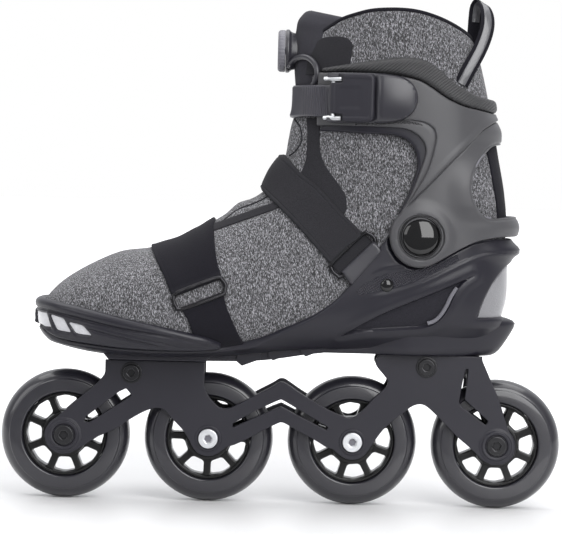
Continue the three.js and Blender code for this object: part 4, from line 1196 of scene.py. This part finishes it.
def make_bumper():
    shape = outline(BUMPER_TOP, BUMPER_LOW)

    def field(x, y, z):
        return np.minimum(inside(shape, x, z), -window_field(x, y, z))

    cuts = ((off(BUMPER_TOP), (1.5, 3.4, 5.4, 6.3, 7.2, 8.1, 9.8, 12, 12.8, 13.6)),
            (window_field, (-1.6, -0.9)))
    bumper = cover(field, 0.5, 5.2, bumper_detail, 2.6, cuts)
    piece("bumper", bumper, SHELL, "chassis", ["toe_bumper"], 50)
    strip = outline(line((-175, 122.4), (-150, 121.4), (-121, 118), (-121, 106.2), (-146, 108.6),
                         (-156, 113.2), (-175, 115)))
    light = cover(both(strip), 0.9, 3.4, edge=0.5)
    piece("toe_light", light, WHITE_REFLECTOR, "chassis", ["toe_reflector"])
    heel = outline(
        line((170, 125.2), (124.8, 124.4)),
        curve((127, 133), (130, 140), (134, 147.5), (138.5, 153.4), (142.5, 157.6), (150, 161)),
        line((170, 161)))
    light = cover(both(heel), 0.2, 2.0, edge=0.4)
    piece("heel_light", light, GREY_REFLECTOR, "chassis", ["heel_reflector"])


# ---- cuff
ARM_LOW = [(18, 246), (32, 246.4), (50, 246.6), (67, 246.2), (76, 245), (82.6, 241.4), (86.4, 236.6),
           (87.7, 231.6), (86.6, 226), (84.4, 219), (80.4, 207.4), (76.6, 198.6), (72.6, 191.8)]
LIP = [(18, 243), (32, 242.4), (46, 241.8), (62, 241.6), (71, 240.3), (76.4, 237.6), (80.9, 232),
       (82.9, 223.6), (81.6, 216), (78.6, 206.6), (74.4, 197), (70.6, 190.6)]
CUFF_TOP = [(150, 256), (140, 256.6), (131, 257), (120, 258.6), (110, 260.6), (100, 265), (90, 271.6),
            (82, 276), (70, 278.6), (58, 279.6), (40, 280), (18, 280)]
WINDOW_RIM = [(131, 189.6), (126, 190.6), (121.6, 194.8), (117.8, 202), (116.6, 210), (118, 218), (122, 226),
              (126, 231)]
WINDOW = curve((170, 190.4), (146, 190.4), (138, 190), (131, 189.4), *WINDOW_RIM[1:-1], (127, 232),
               (132, 235.6), (140, 237), (170, 237.4))
CREASE = outline(
    curve((160, 262), (128, 249), (118, 240), (110, 232), (100, 221.4), (90, 210.4), (82, 202), (74, 193)),
    line((50, 170), (50, 100), (200, 100), (200, 262)))
DECOR = outline(
    curve((44, 249.8), (58.5, 250.3), (71, 251.3), (84, 250.4), (91.2, 246.8), (93.5, 241), (92.6, 233),
          (89.2, 219.8), (83.6, 208.6), (77.2, 197.6)),
    line((60, 200), (60, 230), (40, 235)))
DOT_ARM = outline(
    line((47, 247.4), (47, 249.4)), curve((58, 249.5), (71, 250.4), (80, 250), (85, 248.2), (87.6, 244.6)),
    curve((84, 242.8), (80, 245), (74, 246.8), (66, 247.5)))
TRIM_EDGE = outline(
    curve((20, 280.4), (40, 280.4), (58, 280), (70, 279), (82, 276.4), (90, 272), (100, 265.4), (110, 261),
          (120, 259), (131, 257.4), (140, 257), (150, 256.6)),
    curve((150, 266), (140, 266.4), (132, 266.2), (128, 266.6), (120, 268), (110, 272), (103, 276.4),
          (95, 283), (88, 287.8), (80, 290.2), (70, 290.4), (58, 288.8), (45, 286.8), (30, 284.4), (20, 283)))


BOSS_RADIUS = 19.8


def cuff_lift(x, y, z):
    """How far off the boot the cuff's inner face is: the arms hug the shin and the top hugs the back."""
    return 4.5 - 3.6 * ease(-x, -52, -16) * ease(z, 225, 245) - 3.7 * ease(x, 104, 132) * ease(z, 216, 240)


def lifted(more):
    """A height so much above the cuff's inner face."""
    return lambda x, y, z: cuff_lift(x, y, z) + more


def cuff_detail(x, y, z):
    """The cuff's relief: creases, the window's raised edge, the pivot's boss and ridges across the back."""
    r = np.hypot(x - PIVOT[0], z - PIVOT[1])
    crease = inside(CREASE, x, z)
    height = -1.4 * ease(crease, -0.25, 0.35) + 1.0 * ease(crease, 1.5, 17) - 0.9 * bump(crease, 0.2, 0.9)
    height += 0.35 * bump(crease, -2.2, 3)
    decor = inside(DECOR, x, z)
    height -= 0.7 * ease(decor, -0.25, 0.25) - 0.4 * ease(decor, 0.4, 3) + 0.5 * bump(decor, 0.2, 0.7)
    height *= ease(r, 19, 25)
    window = path_distance(WINDOW, x, z)
    behind = ease(x, 122, 136)
    height += 2.6 * (1 - behind) * ease(17 - window, 0, 15) * ease(z, 186, 198) * ease(-z, -228, -208)
    height -= 1.6 * ease(2.4 - window, 0, 2.4)
    height -= 1.0 * behind * ease(7 - path_distance(CUFF_TOP, x, z), 0, 7)
    side = np.abs(y) > 25
    height += side * (1.5 * ease(22 - r, 0, 6) - 1.6 * ease(14.8 - r, 0, 0.7))
    height += 2.4 * ease(x, 112, 134) * np.exp(-(((z - 245.5) / 6.5) ** 2))
    return height + 1.6 * ease(x, 112, 140) * np.exp(-(((z - 183.5) / 4.2) ** 2))


def make_cuff():
    round_pivot = np.radians(np.arange(132, 272, 5))
    boss = [(PIVOT[0] + BOSS_RADIUS * math.cos(a), PIVOT[1] + BOSS_RADIUS * math.sin(a)) for a in round_pivot]
    low = curve((90, 157.8), (96, 160.6), (104, 165.6), (112, 170.4), (121, 174.8), (130, 176.9),
                (140, 177.8), (170, 177.8))
    shape = outline(curve(*ARM_LOW), line(*boss), low, WINDOW, curve(*CUFF_TOP))

    def pivot_distance(x, y, z):
        return np.hypot(x - PIVOT[0], z - PIVOT[1]) + 100 * (np.abs(y) < 20)

    cuts = ((both(CREASE), (-4.4, -2.2, -0.7, -0.25, 0.2, 0.6, 1.1, 1.8)),
            (both(DECOR), (-0.5, -0.1, 0.2, 0.5, 0.9)),
            (off(WINDOW), (1.3, 2.4, 4)),
            (pivot_distance, (13.4, 14.1, 14.8, 17, 18.6, 20.5)))
    body = cover(both(shape), cuff_lift, lifted(3.6), cuff_detail, 1.3, cuts)
    piece("cuff_shell", body, CUFF, "cuff_body", ["cuff"], 50)
    # The inner lip round the cuff's opening, a real edge, drawn in the shell's darker plastic: its dark
    # colour is painted shade.
    lip = outline(curve(*LIP), line((80, 190)), curve(*[(x + 3, z + 1.5) for x, z in reversed(ARM_LOW)]))
    piece("cuff_lip_painted_shade", cover(both(lip), 0.5, lifted(0.9), edge=1.6), SHELL, "cuff_body")
    for side, word in SIDES:
        pads = cover(one_side(DOT_ARM, side), cuff_lift, lifted(3.25), edge=0.3)
        piece(f"cuff_dots_{word}", pads, CUFF_DOTS, "cuff_body")
    # A light grey cord inside the window's edge on each side: a painted highlight where the cuff's thickness
    # catches the light.
    for side, word in SIDES:
        rim = [spot(x, z, side, float(cuff_lift(x, 0, z)) + 2.2)[0] for x, z in curve(*WINDOW_RIM)]
        piece(f"window_rim_painted_highlight_{word}", tube(rim, 0.75, 10), DIAL_AND_PAINTED_LIGHT, "cuff_body")

    def trim_low(x, y, z):
        return np.maximum(cuff_lift(x, y, z) - 0.6, 0.6)

    trim = cover(both(TRIM_EDGE), trim_low, lifted(4.2), edge=3.4)
    piece("cuff_collar", trim, TRIM, "cuff_body", ["cuff_trim"], 60)
    make_pivots()


def make_pivots():
    """The domed screws that the cuff turns on, each in a dark ring."""
    for side, word in SIDES:
        surface = abs(spot(*PIVOT, side, 7.6)[0][1])
        ring = [(11.9, surface - 1), (13.6, surface - 1), (13.5, surface + 1.1), (12.8, surface + 1.7),
                (11.9, surface + 0.6)]
        shank = [(0, 41), (4, 41), (4, surface), (0, surface)]
        parts = [lathe(ring, *PIVOT, 96, 0.3, side), lathe(shank, *PIVOT, 32, 0.2, side)]
        piece(f"pivot_ring_{word}", joined(parts), BLACK_STEEL, "chassis")
        bend = np.linspace(0, math.pi / 2, 24)
        dome = [(11.8 * math.sin(a), surface - 0.2 + 4.2 * math.cos(a)) for a in bend]
        dome += [(11.8, surface - 1), (0, surface - 1)]
        part = lathe(dome, *PIVOT, 128, 0, side)
        piece(f"pivot_dome_{word}", part, GLOSS, "chassis", [f"pivot_screw_{word}"], 50)


# ---- buckle
RIB_PITCH = 1.9
STRAP_Z, STRAP_HALF = 262, 10  # the ladder strap's middle height and half its width
LEVER_BOX = (25.4, 54, 248.6, 279.4)  # the lever's edges: front and back x, low and high z


def buckle_lift(x, y, z):
    """How far the ladder strap lies off the boot: most over the cuff's arms, a little less by the lever."""
    return 0.8 + 7.6 * ease(x + 0.15 * np.abs(y), 4, 40) - 1.2 * ease(x, 20, 25)


def rib_turn(x, y, z):
    """How far round the shin, in strap ribs."""
    return np.arctan2(y, 75 - x) * 72 / RIB_PITCH


def ribs(x, y, z):
    """The ladder strap's ribs, within its plain edges."""
    ridge = np.abs(rib_turn(x, y, z) % 1 - 0.5)
    return ridge * ease(STRAP_HALF - np.abs(z - STRAP_Z), 0.4, 1.4)


def buckle_dome(x, y, z):
    """The rounded body behind the lever."""
    across = np.clip(1 - ((z - 264.2) / 16.5) ** 2, 0, 1)
    along = np.clip(1 - (np.maximum(x - 58, 0) / 25) ** 2, 0, 1)
    return 5.8 * np.sqrt(across * along) * ease(x, 53, 58)


def make_buckle():
    bottom, top = STRAP_Z - STRAP_HALF, STRAP_Z + STRAP_HALF
    strap = outline(line((-30, bottom), (33, bottom), (33, top), (-30, top)))
    cuts = ((rib_turn, np.arange(-25, 25.1, 0.5)), (lambda x, y, z: z, (bottom + 1.2, top - 1.2)))
    ladder = cover(both(strap), buckle_lift, lambda x, y, z: buckle_lift(x, y, z) + 1.7, ribs, 0.6, cuts)
    piece("ladder", ladder, LADDER, "cuff_body", ["ladder_strap"], 30)
    rim = outline(
        line((26, 248.2)), curve((52, 248.2), (62, 248.6), (72, 250.6), (79, 256), (81.8, 264.2), (79, 272.6),
                                 (72, 277.8), (62, 279.6), (52, 280)), line((26, 280)))
    y = spot(28, 264, -1, 13.5)[0][1]
    parts = [cover(one_side(rim), 8.3, 10.6, buckle_dome, 1.2)]
    for z in (248.6, 276.8):
        ear = outline(line((24, z), (31, z), (31, z + 2.8), (24, z + 2.8)))
        parts.append(slab(ear, y - 1, y + 8, 0.4))
    piece("buckle_body", joined(parts), BUCKLE, "cuff_body", ["buckle_base"], 50)
    front, back, low, high = LEVER_BOX
    corners = [(front, 253.6, 2), (33.6, 253.6, 1), (33.6, low, 1), (back, low, 5), (back, high, 5),
               (33.6, high, 1), (33.6, 273.4, 1), (front, 273.4, 2)]
    paddle = np.array(rounded_profile(corners, 2, 8))
    lid = cover(one_side(paddle), 10.9, 14.3, lever_detail, 1.4, ((lever_rim, (2.6, 3.6)),))
    piece("lever", lid, LEVER, "lever_body", ["buckle_lever"], 50)
    parts = []
    for z in (250.9, 275.7):
        path = [(22.4, y + 2.6, z), (25.4, y + 0.6, z + 0.3), (28.4, y - 0.4, z - 0.2), (32.8, y - 0.8, z)]
        parts.append(tube(path, 1.35, 12))
    parts.append(tube([(28, y + 2.6, 249), (28, y + 2.6, 279)], 1.2, 12, across=(1, 0, 0)))
    piece("lever_hinge_pin", joined(parts), STEEL, "cuff_body", ["lever_pin"])


def lever_rim(x, y, z):
    front, back, low, high = LEVER_BOX
    return np.minimum(np.minimum(x - front, back - x), np.minimum(z - low, high - z))


def lever_detail(x, y, z):
    """A raised rim, a swelling back end and a sunk patch to grip."""
    grip = np.minimum(np.minimum(x - 31, 45 - x), np.minimum(z - 257, 271 - z))
    return -0.5 * ease(lever_rim(x, y, z), 2.6, 3.6) + 0.5 * ease(x, 44, 54) - 0.35 * ease(grip, 0, 1)


# ---- dial and pull loop
DIAL_Z = 294.4  # the height of its axis, along X
KNURLS = 36


def turned_x(profile, segments, radius):
    """A body turned about the dial's axis, from a profile of (r, x)."""
    points, faces = lathe(profile, 0, 0, segments, radius)
    return [(py, px, pz + DIAL_Z) for px, py, pz in points], [tuple(reversed(f)) for f in faces]


def make_dial():
    points, faces = turned_x([(0, -8), (12.4, -8), (13.6, -6.6), (13.6, -3.15), (0, -3.15)], 144, 0.7)
    knurled = []
    for x, y, z in points:
        r = math.hypot(y, z - DIAL_Z)
        a = math.atan2(z - DIAL_Z, y)
        grip = 1 - 0.022 * (0.5 + 0.5 * math.cos(KNURLS * a)) * (r > 12.6)
        knurled.append((x, y * grip, DIAL_Z + (z - DIAL_Z) * grip))
    piece("knob", (knurled, faces), DIAL_AND_PAINTED_LIGHT, "knob_body", ["dial_knob"])
    spool = turned_x([(0, -6.6), (2.4, -6.6), (2.4, -2.8), (8.2, -2.8), (8.2, 2), (0, 2)], 48, 0.2)
    piece("spool", spool, BUCKLE, "spool_body", ["dial_spool"])
    seat = [(9, -3), (13.6, -3), (14.1, -2.4), (14.1, -0.9), (12.6, 0.5), (11.6, 3.5), (11.4, 6), (9, 6)]
    parts = [turned_x(seat, 96, 0.5)]
    guide = []
    for a in np.linspace(2.8, -0.75, 30):
        x = 8 + 9.6 * math.cos(a)
        guide.append((x, 10.5 + 1.28 * max(x, 0), 279.4 + 10.8 * math.sin(a)))
    for side, _ in SIDES:
        parts.append(tube([(x, side * y, z) for x, y, z in guide], 1.8, 14, across=(0, 1, 0)))
    piece("dial_cup", joined(parts), BUCKLE, "cuff_body", ["dial_base"])


def make_pull_loop():
    path = curve((109.5, -36.5, 275), (114, -36.4, 284), (120, -34.6, 295.5), (124, -32.2, 305.5),
                 (125.8, -29.6, 314.5), (125, -25.4, 322.6), (122.4, -20, 327.6), (119.8, -16, 325),
                 (119, -14.4, 317), (118.2, -14.4, 306), (115, -16, 296))
    across = (0.86, 0.12, -0.5)
    webbing = tube(path, 4.8, 20, flat=0.16, across=across)
    piece("pull_webbing", webbing, WEBBING, "cuff_body", ["pull_loop"], 60)
    ahead = np.array(across) / np.linalg.norm(across)
    stripe = []
    for i in range(int(len(path) * 0.8)):
        step = path[i + 1] - path[max(i - 1, 0)]
        out = np.cross(step / np.linalg.norm(step), ahead)
        out *= -1 if out[1] > 0 else 1
        stripe.append(path[i] + out * 0.55)
    tape = tube(stripe, 2.7, 14, flat=0.14, across=across)
    piece("pull_tape", tape, TAPE, "cuff_body", (), 60)


# ---- stage, light and camera
def make_stage():
    """A white floor whose far parts glow, so that it runs into the white behind it without a line."""
    look = Look("paper", (0.74, 0.74, 0.745), 0.7, specular_ior_level=0.28)
    look.vary_rough(look.noise((0.02,) * 3, 3.0, 0.5), 0.34, 0.44)
    away = look.node("ShaderNodeVectorMath", {"operation": "LENGTH"}, i0=look.place((0.001,) * 3))
    glow = look.node("ShaderNodeMapRange", Value=away.outputs["Value"])
    for socket_painted_shade, value in (("From Min", 0.3), ("From Max", 1.1), ("To Min", 0.0), ("To Max", 0.8)):
        glow.inputs[socket_painted_shade].default_value = value
    look.set("Emission Color", (1, 1, 1, 1))
    look.feed(look.shader.inputs["Emission Strength"], glow.outputs[0])
    mesh = bpy.data.meshes.new("floor")
    reach, front = 12, -0.25
    corners = [(-reach, front, 0), (reach, front, 0), (reach, reach, 0), (-reach, reach, 0)]
    mesh.from_pydata(corners, [], [(0, 1, 2, 3)])
    mesh.materials.append(look.material)
    floor = bpy.data.objects.new("floor", mesh)
    bpy.context.scene.collection.objects.link(floor)


def area_light(name, place, aim, size, power):
    data = bpy.data.lights.new(name, "AREA")
    data.shape = "RECTANGLE"
    data.size, data.size_y = size
    data.energy = power
    made = bpy.data.objects.new(name, data)
    made.location = place
    made.rotation_euler = (Vector(aim) - Vector(place)).to_track_quat("-Z", "Y").to_euler()
    bpy.context.scene.collection.objects.link(made)


def make_light():
    """A white studio: bright behind and above, darker in front, with a tall soft box beside the camera."""
    world = bpy.data.worlds.new("studio")
    bpy.context.scene.world = world
    world.use_nodes = True
    tree = world.node_tree
    tree.nodes.clear()
    add, link = tree.nodes.new, tree.links.new
    towards = add("ShaderNodeSeparateXYZ")
    link(add("ShaderNodeTexCoord").outputs["Generated"], towards.inputs[0])
    behind = add("ShaderNodeMapRange")
    link(towards.outputs["Y"], behind.inputs["Value"])
    for socket_painted_shade, value in (("From Min", -0.1), ("From Max", 0.75), ("To Min", 0.32), ("To Max", 0.95)):
        behind.inputs[socket_painted_shade].default_value = value
    seen, lit = add("ShaderNodeBackground"), add("ShaderNodeBackground")
    seen.inputs["Color"].default_value = (1, 1, 1, 1)
    lit.inputs["Color"].default_value = (0.96, 0.97, 1.0, 1)
    link(behind.outputs[0], lit.inputs["Strength"])
    mix = add("ShaderNodeMixShader")
    link(add("ShaderNodeLightPath").outputs["Is Camera Ray"], mix.inputs["Fac"])
    link(lit.outputs[0], mix.inputs[1])
    link(seen.outputs[0], mix.inputs[2])
    link(mix.outputs[0], add("ShaderNodeOutputWorld").inputs["Surface"])
    area_light("key", (0.52, -1.15, 0.80), (0.0, 0, 0.18), (0.95, 1.5), 26)
    area_light("left", (-1.15, -0.75, 0.75), (-0.05, 0, 0.15), (0.9, 0.9), 6.5)
    area_light("top", (0.0, 0.25, 1.7), (0, 0, 0.1), (2.4, 1.6), 30)


def make_camera():
    data = bpy.data.cameras.new("camera")
    data.sensor_width = 36
    data.lens = 176.8
    data.clip_end = 50
    camera = bpy.data.objects.new("camera", data)
    place = Vector((0.0017, -1.8, 0.2237))
    aim = Vector((-0.0024, 0, 0.1538))
    tilt = Matrix.Rotation(math.radians(1.49), 4, "Z")
    turn = (aim - place).to_track_quat("-Z", "Y").to_matrix().to_4x4()
    camera.matrix_world = Matrix.Translation(place) @ turn @ tilt
    bpy.context.scene.collection.objects.link(camera)
    bpy.context.scene.camera = camera


make_wheels()
make_frame()
make_soft_boot()
make_straps()
make_shell()
make_bumper()
make_cuff()
make_buckle()
make_dial()
make_pull_loop()
make_stage()
make_light()
make_camera()
bpy.context.scene.view_settings.view_transform = "Standard"
